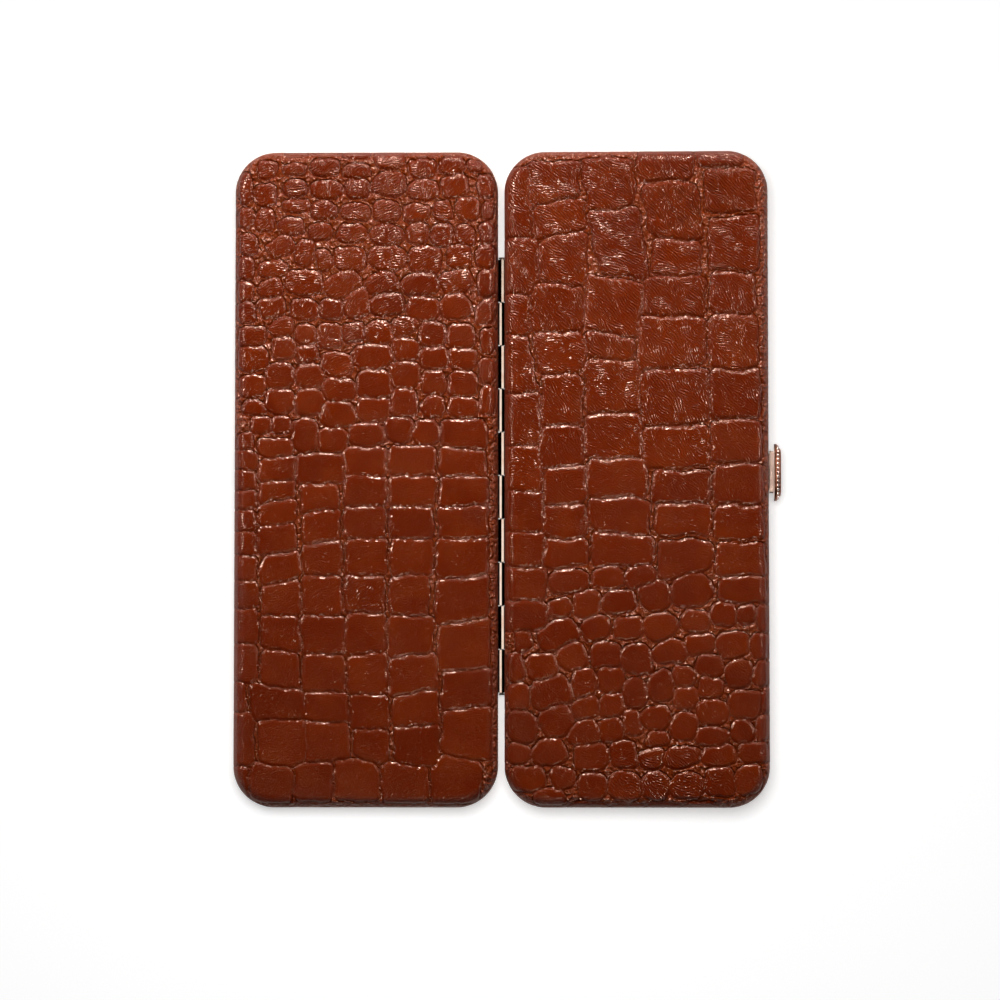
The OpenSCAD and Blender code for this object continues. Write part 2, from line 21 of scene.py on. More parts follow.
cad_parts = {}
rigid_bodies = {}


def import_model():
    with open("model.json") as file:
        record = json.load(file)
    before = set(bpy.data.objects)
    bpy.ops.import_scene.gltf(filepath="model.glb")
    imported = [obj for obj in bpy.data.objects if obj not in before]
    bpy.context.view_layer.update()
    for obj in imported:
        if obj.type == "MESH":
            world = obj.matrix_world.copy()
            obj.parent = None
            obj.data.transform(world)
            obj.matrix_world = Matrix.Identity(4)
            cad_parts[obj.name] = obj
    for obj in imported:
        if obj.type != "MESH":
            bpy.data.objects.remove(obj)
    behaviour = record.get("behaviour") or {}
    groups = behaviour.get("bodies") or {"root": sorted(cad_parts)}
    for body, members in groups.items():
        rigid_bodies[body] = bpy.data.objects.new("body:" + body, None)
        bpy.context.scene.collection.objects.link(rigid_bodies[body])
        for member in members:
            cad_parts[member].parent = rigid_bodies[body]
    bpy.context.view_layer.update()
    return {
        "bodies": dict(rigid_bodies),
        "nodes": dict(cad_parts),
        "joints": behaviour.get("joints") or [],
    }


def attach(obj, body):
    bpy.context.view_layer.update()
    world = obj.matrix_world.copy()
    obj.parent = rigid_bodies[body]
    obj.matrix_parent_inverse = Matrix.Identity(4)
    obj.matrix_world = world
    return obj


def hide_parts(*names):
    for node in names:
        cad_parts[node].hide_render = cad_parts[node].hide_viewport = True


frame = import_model()

log = logging.getLogger("manicure_case")

MM = 0.001

# What a node's input takes: a value, another node's output, or a node for its first output
Source = Union[bpy.types.Node, bpy.types.NodeSocket, float]

# Values that the embossed leather carries at each point, for its material
HIDE_MAPS = ("edge_distance", "scale_tone", "grain_turn", "coarse_grain", "plated")

# Sizes that the sub-assemblies share, in millimetres
CASE_LENGTH = 160.0
HALF_WIDTH = 64.3
HALF_DEPTH = 9.0
CORNER_RADIUS = 10.0
EDGE_RADIUS = 3.0
SIDE_GAP = 0.85
MIDDLE_X = SIDE_GAP + HALF_WIDTH / 2
OUTER_X = SIDE_GAP + HALF_WIDTH
CORE_X = HALF_WIDTH / 2 - CORNER_RADIUS
CORE_Y = CASE_LENGTH / 2 - CORNER_RADIUS
CLASP_Y = 1.6

# How the halves lie on the table: hinge axis in the row frame, and tilts in degrees
AXIS_X = -1.65
AXIS_Z = 1.0
RIGHT_TILT = 2.0418
LEFT_TILT = 0.9291


class Side(Enum):
    """A half of the case, as the photograph shows it."""

    RIGHT = "right"
    LEFT = "left"

    @property
    def body(self) -> str:
        """The CAD body that the half's pieces ride on."""
        return f"{self.value}_half"

    @property
    def place(self) -> Matrix:
        """The matrix from the half's own frame in millimetres to the row frame in metres."""
        tilt = RIGHT_TILT if self is Side.RIGHT else LEFT_TILT
        turn = Matrix.Rotation(-math.radians(tilt), 4, "Y")
        turned = turn if self is Side.RIGHT else turn @ Matrix.Diagonal((-1, 1, 1, 1))
        down = Matrix.Translation((AXIS_X, 0, AXIS_Z))
        return Matrix.Scale(MM, 4) @ down @ turned


def linear_colour(code: str) -> tuple[float, float, float, float]:
    """Turns an sRGB hex colour to linear values.

    Args:
        code: The colour as #RRGGBB.

    Returns:
        Red, green, blue and an alpha of 1.
    """
    parts = [int(code[i : i + 2], 16) / 255 for i in (1, 3, 5)]
    red, green, blue = (
        part / 12.92 if part <= 0.04045 else ((part + 0.055) / 1.055) ** 2.4 for part in parts
    )
    return red, green, blue, 1.0


def add_node(
    tree: bpy.types.NodeTree, kind: str, inputs: Optional[dict] = None, **settings: object
) -> bpy.types.Node:
    """Adds a node to a tree.

    Args:
        tree: The node tree.
        kind: The node's type name, without its leading ShaderNode.
        inputs: Sockets by name or number, each with a value, or with a socket or a node to
            link from. A node is linked from its first output in use.
        **settings: Properties of the node.

    Returns:
        The new node.
    """
    node = tree.nodes.new(f"ShaderNode{kind}")
    for name, value in settings.items():
        setattr(node, name, value)
    for key, value in (inputs or {}).items():
        if isinstance(value, bpy.types.Node):
            value = next(output for output in value.outputs if output.enabled)
        if isinstance(value, bpy.types.NodeSocket):
            tree.links.new(value, node.inputs[key])
        else:
            node.inputs[key].default_value = value
    return node


def empty_tree(owner: Union[bpy.types.Material, bpy.types.World]) -> bpy.types.NodeTree:
    """Gives the node tree of a new material or world, without its first nodes."""
    owner.use_nodes = True
    owner.node_tree.nodes.clear()
    return owner.node_tree


class Finish:
    """A finish: a material that is made once and then shared."""

    name: str
    made: dict[str, bpy.types.Material] = {}

    def material(self) -> bpy.types.Material:
        """Gives the finish's material, made at the first call."""
        if self.name not in Finish.made:
            material = bpy.data.materials.new(self.name)
            tree = empty_tree(material)
            add_node(tree, "OutputMaterial", {"Surface": self.shade(tree)})
            Finish.made[self.name] = material
        return Finish.made[self.name]

    def shade(self, tree: bpy.types.NodeTree) -> bpy.types.Node:
        """Builds the finish's nodes.

        Args:
            tree: The material's node tree.

        Returns:
            The finish's shader node.
        """
        raise NotImplementedError

    def surface(
        self,
        tree: bpy.types.NodeTree,
        base: str,
        layers: Sequence[tuple[Source, str]],
        reliefs: Sequence[tuple[Source, float, float]],
        coat: dict[str, object],
    ) -> bpy.types.Node:
        """Makes the shader from a layered colour and a fine relief.

        Args:
            tree: The material's node tree.
            base: The colour at the bottom.
            layers: Share and colour of each layer over it.
            reliefs: Height, depth in millimetres and strength of each relief.
            coat: The shader's other inputs.

        Returns:
            The shader node.
        """
        colour = linear_colour(base)
        for share, code in layers:
            colour = add_node(tree, "Mix", {0: share, 6: colour, 7: linear_colour(code)}, data_type="RGBA")
        normal = {}
        for height, depth, strength in reliefs:
            relief = {"Strength": strength, "Distance": depth * MM, "Height": height, **normal}
            normal = {"Normal": add_node(tree, "Bump", relief)}
        return add_node(tree, "BsdfPrincipled", {"Base Color": colour, **normal, **coat})


@dataclass(frozen=True)
class EmbossedLeather(Finish):
    """Chestnut split leather, plated with a crocodile embossing roll and sealed with a satin coat.

    The plated scales are dense and dark, the stretched borders pale, and the sealed grain
    gives narrow highlights on every raised border.

    Attributes:
        deep, body: Dyes of the darkest and of the palest scale.
        warm, fold, crease: Dyes of the warm patches and of the leather between the scales, and the
        dark colour of the lines round them: dye, with painted shade in the creases.
        lacquer: Tint of the coat's reflection.
        roughness, side_roughness: Roughness of the plated face and of the sides.
        grain, hair, wrinkle, mottle: Sizes of the pores, of the hair lines, of the wrinkles
            between the scales and of the patches of dye.
        grain_depth, groove_depth, hair_depth, wrinkle_depth, ridge_depth: Depths of the pores,
            the crease lines, the hair lines, the wrinkles and the coarse ridges.
        grain_share, rim_grain: Strength of the pores, and how much a scale's border adds to it.
        fold_width, crease_shade_width, groove_width: How far the folds' colour, the lines' dark
        colour with its painted shade, and the crease lines' slope reach from an outline.
        ridge_pitch, ridge_patch: Distance between coarse ridges, and size of their patches.
    """

    name: str = "embossed_calf_leather_satin"
    deep: str = "#641901"
    body: str = "#6E1F02"
    warm: str = "#7C2A06"
    fold: str = "#87370F"
    # Dark colour of the crease lines: dye, and painted shade in the creases
    crease: str = "#3A0F01"
    lacquer: str = "#FFD4BC"
    roughness: float = 0.13
    side_roughness: float = 0.5
    grain: float = 0.46
    grain_depth: float = 0.11
    grain_share: float = 0.3
    rim_grain: float = 1.6
    fold_width: float = 0.3
    crease_shade_width: float = 0.2
    groove_width: float = 0.38
    groove_depth: float = 0.06
    hair: float = 0.95
    hair_depth: float = 0.075
    wrinkle: float = 1.2
    wrinkle_depth: float = 1.3
    ridge_pitch: float = 0.62
    ridge_depth: float = 0.8
    ridge_patch: float = 2.2
    mottle: float = 8.0

    def shade(self, tree: bpy.types.NodeTree) -> bpy.types.Node:
        """Builds the leather's nodes and gives its shader."""
        place = add_node(tree, "TexCoord").outputs["Object"]
        maps = {name: add_node(tree, "Attribute", attribute_name=name).outputs["Fac"] for name in HIDE_MAPS}
        off_line = add_node(tree, "Math", {0: maps["edge_distance"]}, operation="ABSOLUTE")
        between = add_node(
            tree,
            "MapRange",
            {"Value": maps["edge_distance"], "From Min": 0.0, "From Max": -self.fold_width},
            interpolation_type="SMOOTHSTEP",
        )
        mottle = add_node(tree, "TexNoise", {"Vector": place, "Scale": 1 / (self.mottle * MM), "Detail": 3.0})
        warmth = add_node(
            tree, "MapRange", {"Value": mottle, "From Min": 0.45, "From Max": 0.8, "To Max": 0.7}
        )
        fold = add_node(tree, "Math", {0: between, 1: 0.35}, operation="MULTIPLY")
        # Painted shade: the crease colour darkens a thin line along every outline, as dye and as the shade in
        # the creases
        crease_shade = add_node(
            tree,
            "MapRange",
            {"Value": off_line, "From Min": self.crease_shade_width, "From Max": 0.0, "To Max": 0.3},
            interpolation_type="SMOOTHSTEP",
        )
        layers = (
            (maps["scale_tone"], self.body),
            (warmth, self.warm),
            (fold, self.fold),
            (crease_shade, self.crease),
        )
        # The plate of the press polishes the outer face, and hardly touches the sides
        worn = add_node(
            tree,
            "MapRange",
            {"Value": maps["plated"], "To Min": self.side_roughness, "To Max": self.roughness},
        )
        coat = {
            "Roughness": worn,
            "IOR": 1.5,
            "Specular IOR Level": 1.0,
            "Specular Tint": linear_colour(self.lacquer),
        }
        heights = self.heights(tree, place, maps, off_line, between)
        return self.surface(tree, self.deep, layers, [(heights, 1.0, 1.0)], coat)

    def heights(
        self,
        tree: bpy.types.NodeTree,
        place: Source,
        maps: dict[str, Source],
        off_line: Source,
        between: Source,
    ) -> Source:
        """Adds up the fine relief, in millimetres.

        It holds crease lines with chamfered borders, pores, hair lines, wrinkles between the
        scales, and coarse ridges like a fingerprint's.

        Args:
            tree: The material's node tree.
            place: The place on the piece.
            maps: The values that the leather carries.
            off_line: Distance from the nearest outline of a scale.
            between: 1 between the scales and 0 on them.

        Returns:
            The height.
        """
        near_line = add_node(
            tree, "MapRange", {"Value": off_line, "From Min": self.groove_width, "From Max": 0.0}
        )
        groove = add_node(tree, "Math", {0: near_line, 1: 2.0}, operation="POWER")
        pores = add_node(tree, "TexNoise", {"Vector": place, "Scale": 1 / (self.grain * MM), "Detail": 0.6})
        curls = add_node(
            tree,
            "TexNoise",
            {"Vector": place, "Scale": 1 / (self.hair * MM), "Detail": 2.0, "Distortion": 2.5},
        )
        off_curl = add_node(tree, "Math", {0: curls, 1: 0.5}, operation="SUBTRACT")
        near_curl = add_node(tree, "Math", {0: off_curl}, operation="ABSOLUTE")
        hairs = add_node(
            tree,
            "MapRange",
            {"Value": near_curl, "From Min": 0.04, "From Max": 0.0},
            interpolation_type="SMOOTHSTEP",
        )
        folds = add_node(
            tree,
            "TexNoise",
            {"Vector": place, "Scale": 1 / (self.wrinkle * MM), "Detail": 0.5, "Distortion": 0.8},
        )
        wrinkles = add_node(tree, "Math", {0: folds, 1: between}, operation="MULTIPLY")
        # The Gabor pattern works on the flat hide, whose map is in millimetres
        ridges = add_node(
            tree,
            "TexGabor",
            {
                "Vector": add_node(tree, "UVMap", uv_map="hide"),
                "Scale": 1 / self.ridge_patch,
                "Frequency": self.ridge_patch / self.ridge_pitch,
                "Anisotropy": 0.88,
                "Orientation": maps["grain_turn"],
            },
            gabor_type="2D",
        )
        coarse = maps["coarse_grain"]
        print_ridges = add_node(tree, "Math", {0: ridges, 1: coarse}, operation="MULTIPLY")
        # Hair lines and pores are deeper in coarse grain, and pores on a scale's border too
        fineness = add_node(tree, "Math", {0: coarse, 1: 0.5}, operation="ADD")
        fine_hairs = add_node(tree, "Math", {0: hairs, 1: fineness}, operation="MULTIPLY")
        evenness = add_node(tree, "Math", {0: coarse, 1: 0.4, 2: self.grain_share}, operation="MULTIPLY_ADD")
        strength = {0: near_line, 1: self.rim_grain, 2: evenness}
        rough_rim = add_node(tree, "Math", strength, operation="MULTIPLY_ADD")
        off_pore = add_node(tree, "Math", {0: pores, 1: 0.5}, operation="SUBTRACT")
        fine_pores = add_node(tree, "Math", {0: off_pore, 1: rough_rim}, operation="MULTIPLY")
        total = 0.0
        for height, depth in (
            (groove, -self.groove_depth),
            (fine_pores, self.grain_depth),
            (fine_hairs, self.hair_depth),
            (wrinkles, self.wrinkle_depth),
            (print_ridges, self.ridge_depth),
        ):
            total = add_node(tree, "Math", {0: height, 1: depth, 2: total}, operation="MULTIPLY_ADD")
        return total


@dataclass(frozen=True)
class PlatedMetal(Finish):
    """Steel or brass sheet with a warm plated coat, brushed or polished.

    Plating gives a clear coloured reflection. Brushing draws it out across the strokes.

    Attributes:
        colour, stain: Colours of the clean plating and of its tarnished patches.
        stroke: Width of a brush stroke.
        stroke_length: Length of a brush stroke.
        across: Whether the strokes run across the case, and not along it.
        depth: Depth of the strokes.
        wear: How far the roughness varies.
        patch: Size of a tarnished patch.
        unshaded_stretch: The stretch across the case, from the hinge axis, that keeps the
            metal's own colour. Beside it the metal is painted black as shade. None where no
            shade is painted.
        painted_shade: Colour of the painted shade.
        shade_reach: Distance from the hinge axis up to which the shade is painted.
    """

    name: str
    colour: str
    stain: str
    roughness: float = 0.24
    stroke: float = 0.12
    stroke_length: float = 6.0
    across: bool = False
    depth: float = 0.012
    wear: float = 0.1
    patch: float = 2.5
    unshaded_stretch: Optional[tuple[float, float]] = None
    painted_shade: str = "#1A1310"
    shade_reach: float = 1.2

    def shade(self, tree: bpy.types.NodeTree) -> bpy.types.Node:
        """Builds the metal's nodes and gives its shader."""
        place = add_node(tree, "TexCoord").outputs["Object"]
        fine = 1 / (self.stroke * MM)
        long = 1 / (self.stroke_length * MM)
        scale = (long, fine, fine) if self.across else (fine, long, fine)
        strokes_at = add_node(tree, "Mapping", {"Vector": place, "Scale": scale})
        strokes = add_node(tree, "TexNoise", {"Vector": strokes_at, "Scale": 1.0, "Detail": 2.0})
        patches = add_node(tree, "TexNoise", {"Vector": place, "Scale": 1 / (self.patch * MM), "Detail": 3.0})
        tarnish = add_node(
            tree, "MapRange", {"Value": patches, "From Min": 0.45, "From Max": 0.75, "To Max": 0.6}
        )
        layers = [(tarnish, self.stain)]
        # Painted shade: beside the unshaded stretch the metal is painted black, standing in for the shade
        # down in the gap
        if self.unshaded_stretch:
            layers.append((self.painted_shade_mask(tree, place), self.painted_shade))
        smoothest = self.roughness - 0.8 * self.wear
        roughest = self.roughness + 1.2 * self.wear
        dull = add_node(tree, "MapRange", {"Value": strokes, "To Min": smoothest, "To Max": roughest})
        coat = {"Metallic": 1.0, "Roughness": dull}
        return self.surface(tree, self.colour, layers, [(strokes, self.depth, 0.5)], coat)

    def painted_shade_mask(self, tree: bpy.types.NodeTree, place: Source) -> bpy.types.Node:
        """Marks where shade is painted: beside the unshaded stretch, as far as the shade reaches.

        Args:
            tree: The material's node tree.
            place: The place on the piece.

        Returns:
            1 where shade is painted.
        """
        across = add_node(tree, "SeparateXYZ", {0: place}).outputs["X"]
        start, end = self.unshaded_stretch
        beside = self.off_place(tree, across, AXIS_X + (start + end) / 2, (end - start) / 2, 0.07)
        beyond = self.off_place(tree, across, AXIS_X, self.shade_reach, 0.1)
        near = add_node(tree, "Math", {0: 1.0, 1: beyond}, operation="SUBTRACT")
        return add_node(tree, "Math", {0: beside, 1: near}, operation="MULTIPLY")

    def off_place(
        self, tree: bpy.types.NodeTree, across: Source, middle: float, reach: float, blur: float
    ) -> bpy.types.Node:
        """Marks what lies further across the case than a reach from a middle.

        Args:
            tree: The material's node tree.
            across: Place across the case, in metres.
            middle: The middle, in millimetres.
            reach: The reach.
            blur: Width of the change.

        Returns:
            1 past the reach and 0 within it.
        """
        off = add_node(tree, "Math", {0: across, 1: middle * MM}, operation="SUBTRACT")
        far = add_node(tree, "Math", {0: off}, operation="ABSOLUTE")
        change = {"Value": far, "From Min": reach * MM, "From Max": (reach + blur) * MM}
        return add_node(tree, "MapRange", change)


@dataclass(frozen=True)
class FibreBoard(Finish):
    """Pressed grey-brown fibre board, the hard shell under the leather: matt, with short fibres."""

    name: str = "pressed_fibre_board"
    colour: str = "#6A5A4A"
    fibre: str = "#8A7A66"
    fibre_size: float = 0.4
    relief: float = 0.04

    def shade(self, tree: bpy.types.NodeTree) -> bpy.types.Node:
        """Builds the board's nodes and gives its shader."""
        place = add_node(tree, "TexCoord").outputs["Object"]
        fibres = add_node(
            tree,
            "TexNoise",
            {"Vector": place, "Scale": 1 / (self.fibre_size * MM), "Detail": 3.0, "Distortion": 1.5},
        )
        reliefs = [(fibres, self.relief, 0.6)]
        return self.surface(tree, self.colour, [(fibres, self.fibre)], reliefs, {"Roughness": 0.85})


@dataclass(frozen=True)
class FlockedSuede(Finish):
    """Tan microfibre suede, brushed one way: a soft nap with paler patches where it lies over."""

    name: str = "microfibre_suede"
    colour: str = "#A8845C"
    brushed: str = "#C4A27A"
    sheen: str = "#E8D4B8"
    nap: float = 0.25
    nap_depth: float = 0.05
    patch: float = 14.0

    def shade(self, tree: bpy.types.NodeTree) -> bpy.types.Node:
        """Builds the suede's nodes and gives its shader."""
        place = add_node(tree, "TexCoord").outputs["Object"]
        nap = add_node(tree, "TexNoise", {"Vector": place, "Scale": 1 / (self.nap * MM), "Detail": 2.0})
        patches = add_node(
            tree,
            "TexNoise",
            {"Vector": place, "Scale": 1 / (self.patch * MM), "Detail": 4.0, "Distortion": 0.8},
        )
        blend = add_node(tree, "MapRange", {"Value": patches, "From Min": 0.4, "From Max": 0.62})
        coat = {
            "Roughness": 0.9,
            "Sheen Weight": 0.5,
            "Sheen Roughness": 0.4,
            "Sheen Tint": linear_colour(self.sheen),
        }
        return self.surface(tree, self.colour, [(blend, self.brushed)], [(nap, self.nap_depth, 0.7)], coat)


@dataclass(frozen=True)
class SmoothLeather(Finish):
    """Smooth dyed calf leather of the slip pocket: a fine round pore grain under a satin coat."""

    name: str = "smooth_calf_leather"
    colour: str = "#6B3418"
    warm: str = "#86482A"
    mottle: float = 11.0
    grain: float = 0.7
    grain_depth: float = 0.05

    def shade(self, tree: bpy.types.NodeTree) -> bpy.types.Node:
        """Builds the leather's nodes and gives its shader."""
        place = add_node(tree, "TexCoord").outputs["Object"]
        grain = {"Vector": place, "Scale": 1 / (self.grain * MM)}
        cells = add_node(tree, "TexVoronoi", grain, feature="DISTANCE_TO_EDGE")
        mottle = add_node(tree, "TexNoise", {"Vector": place, "Scale": 1 / (self.mottle * MM), "Detail": 4.0})
        wall = {"Value": cells, "From Max": 0.25}
        swell = add_node(tree, "MapRange", wall, interpolation_type="SMOOTHSTEP")
        reliefs = [(swell, self.grain_depth, 0.6)]
        return self.surface(tree, self.colour, [(mottle, self.warm)], reliefs, {"Roughness": 0.45})


@dataclass(frozen=True)
class ElasticWebbing(Finish):
    """Brown knitted elastic: soft yarn over rubber cores, with a cross weft that shows as fine bars."""

    name: str = "knitted_elastic_webbing"
    colour: str = "#40241A"
    yarn: str = "#6A4230"
    weft: float = 0.55
    weft_depth: float = 0.08
    fuzz: float = 1 / 6
    fuzz_depth: float = 0.05

    def shade(self, tree: bpy.types.NodeTree) -> bpy.types.Node:
        """Builds the webbing's nodes and gives its shader."""
        flat = add_node(tree, "UVMap", uv_map="webbing")
        bars = add_node(
            tree,
            "TexWave",
            {"Vector": flat, "Scale": 1 / (self.weft * 3.2), "Distortion": 1.2, "Detail": 1.0},
            bands_direction="X",
        ).outputs["Fac"]
        fuzz = add_node(tree, "TexNoise", {"Vector": flat, "Scale": 1 / self.fuzz, "Detail": 3.0})
        reliefs = [(bars, self.weft_depth, 0.7), (fuzz, self.fuzz_depth, 0.4)]
        coat = {"Roughness": 0.8, "Sheen Weight": 0.3}
        return self.surface(tree, self.colour, [(bars, self.yarn)], reliefs, coat)


@dataclass(frozen=True)
class WaxedThread(Finish):
    """Waxed polyester sewing thread: two plies twisted, with a faint gloss from the wax."""

    name: str = "waxed_thread"
    colour: str = "#B58A5E"
    shade_colour: str = "#8A6440"
    twist: float = 0.3
    ply_depth: float = 0.03

    def shade(self, tree: bpy.types.NodeTree) -> bpy.types.Node:
        """Builds the thread's nodes and gives its shader."""
        place = add_node(tree, "TexCoord").outputs["Object"]
        twist = {"Vector": place, "Scale": 0.314 / (self.twist * MM)}
        plies = add_node(tree, "TexWave", twist, bands_direction="DIAGONAL").outputs["Fac"]
        reliefs = [(plies, self.ply_depth, 0.6)]
        return self.surface(tree, self.shade_colour, [(plies, self.colour)], reliefs, {"Roughness": 0.5})


COVER_LEATHER = EmbossedLeather()
# Satin plated steel sheet of the frames: a warm, pale, slightly drawn-out reflection
FRAME_METAL = PlatedMetal("satin_plated_steel_sheet", colour="#D9B9A2", stain="#C69C82", roughness=0.3)


def hinge_metal(side: str, unshaded_stretch: tuple[float, float]) -> PlatedMetal:
    """Gives a leaf's sheet: polished, with its rolls and the metal near the leather painted black as the
    shade in the gap.

    Args:
        side: The side of the leaf.
        unshaded_stretch: The stretch across the case that is left without painted shade.

    Returns:
        The finish.
    """
    return PlatedMetal(
        f"polished_plated_steel_{side}_leaf",
        colour="#F4DCC8",
        stain="#DCA88C",
        roughness=0.11,
        across=True,
        depth=0.003,
        wear=0.03,
        unshaded_stretch=unshaded_stretch,
    )


# Beside their unshaded stretches, the leaves and their rivets are painted black as the shade down in the gap
# between the halves
RIGHT_HINGE_METAL = hinge_metal("right", (-0.1, 0.44))
LEFT_HINGE_METAL = hinge_metal("left", (-0.5, -0.08))
# Satin brushed clasp sheet: fine strokes, pale and dull
CLASP_METAL = PlatedMetal(
    "satin_brushed_plated_brass_sheet", colour="#E0C0AE", stain="#C8A290", roughness=0.4, depth=0.02
)
# Die-struck clasp plate with dark tarnish patches. Its back, next to the case, is painted black as the shade
# in the gap behind it
ORNAMENT_METAL = PlatedMetal(
    "antiqued_brass_with_painted_shade",
    colour="#94573F",
    stain="#1C0D08",
    roughness=0.3,
    stroke=0.6,
    stroke_length=0.6,
    unshaded_stretch=(OUTER_X + 1.66, OUTER_X + 4.0),
    shade_reach=OUTER_X + 4.0,
)
# Beads of the clasp plate, burnished bright
BEAD_METAL = PlatedMetal(
    "burnished_plated_brass_beads", colour="#F6E2D6", stain="#DCA892", roughness=0.22, depth=0.004
)
# Drawn steel wire of the pins
PIN_STEEL = PlatedMetal(
    "drawn_steel_wire", colour="#B9B4AE", stain="#8E867C", roughness=0.25, stroke=0.1, depth=0.004
)
# Oil-tempered spring wire
SPRING_STEEL = PlatedMetal(
    "oil_tempered_spring_wire", colour="#8E8A86", stain="#5E5852", roughness=0.28, stroke=0.1, depth=0.004
)
SHELL_BOARD = FibreBoard()
LINING_SUEDE = FlockedSuede()
POCKET_LEATHER = SmoothLeather()
ELASTIC = ElasticWebbing()
THREAD = WaxedThread()


def hand_over(
    piece: bpy.types.Object, finish: Finish, body: str, nodes: Sequence[str] = ()
) -> bpy.types.Object:
    """Dresses a finished piece and hands it to the frame.

    Args:
        piece: The piece, in the row frame.
        finish: Its finish.
        body: The CAD body that it rides on.
        nodes: The CAD nodes that it stands for.

    Returns:
        The piece.
    """
    piece.data.materials.clear()
    piece.data.materials.append(finish.material())
    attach(piece, body)
    if nodes:
        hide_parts(*nodes)
    log.info("%s: %d faces, rides on %s", piece.name, len(piece.data.polygons), body)
    return piece


def new_piece(name: str, form: bmesh.types.BMesh, place: Matrix, smooth: bool = True) -> bpy.types.Object:
    """Makes an object from a form drawn in millimetres, and frees the form.

    Args:
        name: The piece's name.
        form: The form, in millimetres in the half's own frame.
        place: The matrix to the row frame in metres.
        smooth: Whether its faces are shaded smooth.

    Returns:
        The new object, at the origin.
    """
    bmesh.ops.transform(form, matrix=place, verts=form.verts)
    if place.determinant() < 0:
        bmesh.ops.reverse_faces(form, faces=form.faces)
    for face in form.faces:
        face.smooth = smooth
    mesh = bpy.data.meshes.new(name)
    form.to_mesh(mesh)
    form.free()
    piece = bpy.data.objects.new(name, mesh)
    bpy.context.scene.collection.objects.link(piece)
    return piece


def break_edges(piece: bpy.types.Object, name: str, width: float, segments: int, bend: float) -> None:
    """Bevels the edges of a piece.

    Args:
        piece: The piece.
        name: The modifier's name.
        width: Width of the bevel in millimetres.
        segments: Number of faces across it.
        bend: Least bend of an edge that is bevelled, in degrees.
    """
    edges = piece.modifiers.new(name, "BEVEL")
    edges.width = width * MM
    edges.segments = segments
    edges.limit_method = "ANGLE"
    edges.angle_limit = math.radians(bend)


def thicken(piece: bpy.types.Object, sheet: float, even: bool = False) -> None:
    """Gives a sheet its thickness, inwards.

    Args:
        piece: The sheet.
        sheet: Its thickness in millimetres.
        even: Whether the thickness is kept at bends.
    """
    wall = piece.modifiers.new("thickness", "SOLIDIFY")
    wall.thickness = sheet * MM
    wall.offset = -1.0
    wall.use_even_offset = even


def of_kind(made: Iterable[object], kind: type) -> list:
    """Picks the vertices, the edges or the faces out of what an operator gives back."""
    return [item for item in made if isinstance(item, kind)]


def close_end(form: bmesh.types.BMesh, edges: Iterable[bmesh.types.BMEdge]) -> None:
    """Closes the opening that a loop of edges leaves, and turns all faces outwards."""
    bmesh.ops.contextual_create(form, geom=list(edges))
    bmesh.ops.recalc_face_normals(form, faces=form.faces)


def smooth_step(value: np.ndarray, low: float, high: float) -> np.ndarray:
    """Gives 0 below low, 1 above high, and a smooth rise between them."""
    share = np.clip((value - low) / (high - low), 0, 1)
    return share * share * (3 - 2 * share)


@dataclass(frozen=True)
class TrayForm:
    """The outer surface of a tray with a half's rounded outline, unrolled as one flat sheet.

    Attributes:
        inset: Distance in from the outline of the half.
        bottom: Height of the tray's rim above the rim plane.
        top: Height of its outer face.
        rounding: Radius between its sides and its face.
    """

    inset: float
    bottom: float
    top: float
    rounding: float

    @property
    def corner(self) -> float:
        """Radius of the corners, seen from above."""
        return CORNER_RADIUS - self.inset

    @property
    def reach(self) -> float:
        """Distance along the surface from a corner's centre to the rim."""
        level = self.corner - self.rounding
        return level + self.rounding * math.pi / 2 + self.top - self.rounding - self.bottom

    def sheet(self, pitch: float) -> bmesh.types.BMesh:
        """Cuts the flat sheet.

        Args:
            pitch: Distance between neighbouring points.

        Returns:
            A grid centred on the half's middle.
        """
        width = 2 * (CORE_X + self.reach)
        length = 2 * (CORE_Y + self.reach)
        form = bmesh.new()
        bmesh.ops.create_grid(
            form, x_segments=round(width / pitch), y_segments=round(length / pitch), size=0.5
        )
        bmesh.ops.scale(form, vec=(width, length, 1), verts=form.verts)
        return form

    def folded(self, pitch: float) -> bmesh.types.BMesh:
        """Cuts the flat sheet and folds it over the tray.

        Args:
            pitch: Distance between neighbouring points.

        Returns:
            The folded sheet.
        """
        form = self.sheet(pitch)
        places = self.fold(np.array([vert.co for vert in form.verts]))[0]
        for vert, place in zip(form.verts, places):
            vert.co = place
        return form

    def fold(self, flat: np.ndarray) -> tuple[np.ndarray, np.ndarray, np.ndarray, np.ndarray]:
        """Folds points of the flat sheet over the tray.

        Args:
            flat: Points of the sheet, one row each.

        Returns:
            Their places, their outward directions, their distances along the surface from
            the level core, and the flat places where a pattern from above meets them.
        """
        core = np.clip(flat[:, :2], (-CORE_X, -CORE_Y), (CORE_X, CORE_Y))
        offset = flat[:, :2] - core
        along = np.abs(offset).max(1)
        length = np.maximum(np.hypot(offset[:, 0], offset[:, 1]), 1e-9)
        out = offset / length[:, None]
        level = self.corner - self.rounding
        turn = np.clip((along - level) / self.rounding, 0, math.pi / 2)
        down = np.maximum(along - level - self.rounding * math.pi / 2, 0)
        radius = np.minimum(along, level) + self.rounding * np.sin(turn)
        drop = self.rounding * (1 - np.cos(turn)) + down
        place = np.empty_like(flat)
        place[:, :2] = core + out * radius[:, None]
        place[:, 0] += MIDDLE_X
        place[:, 2] = self.top - drop
        facing = np.empty_like(flat)
        facing[:, :2] = out * np.sin(turn)[:, None]
        facing[:, 2] = np.cos(turn)
        spread = radius + np.where(
            drop < self.rounding, drop**2 / (2 * self.rounding), drop - self.rounding / 2
        )
        seen = core + out * spread[:, None]
        seen[:, 0] += MIDDLE_X
        return place, facing, along, seen


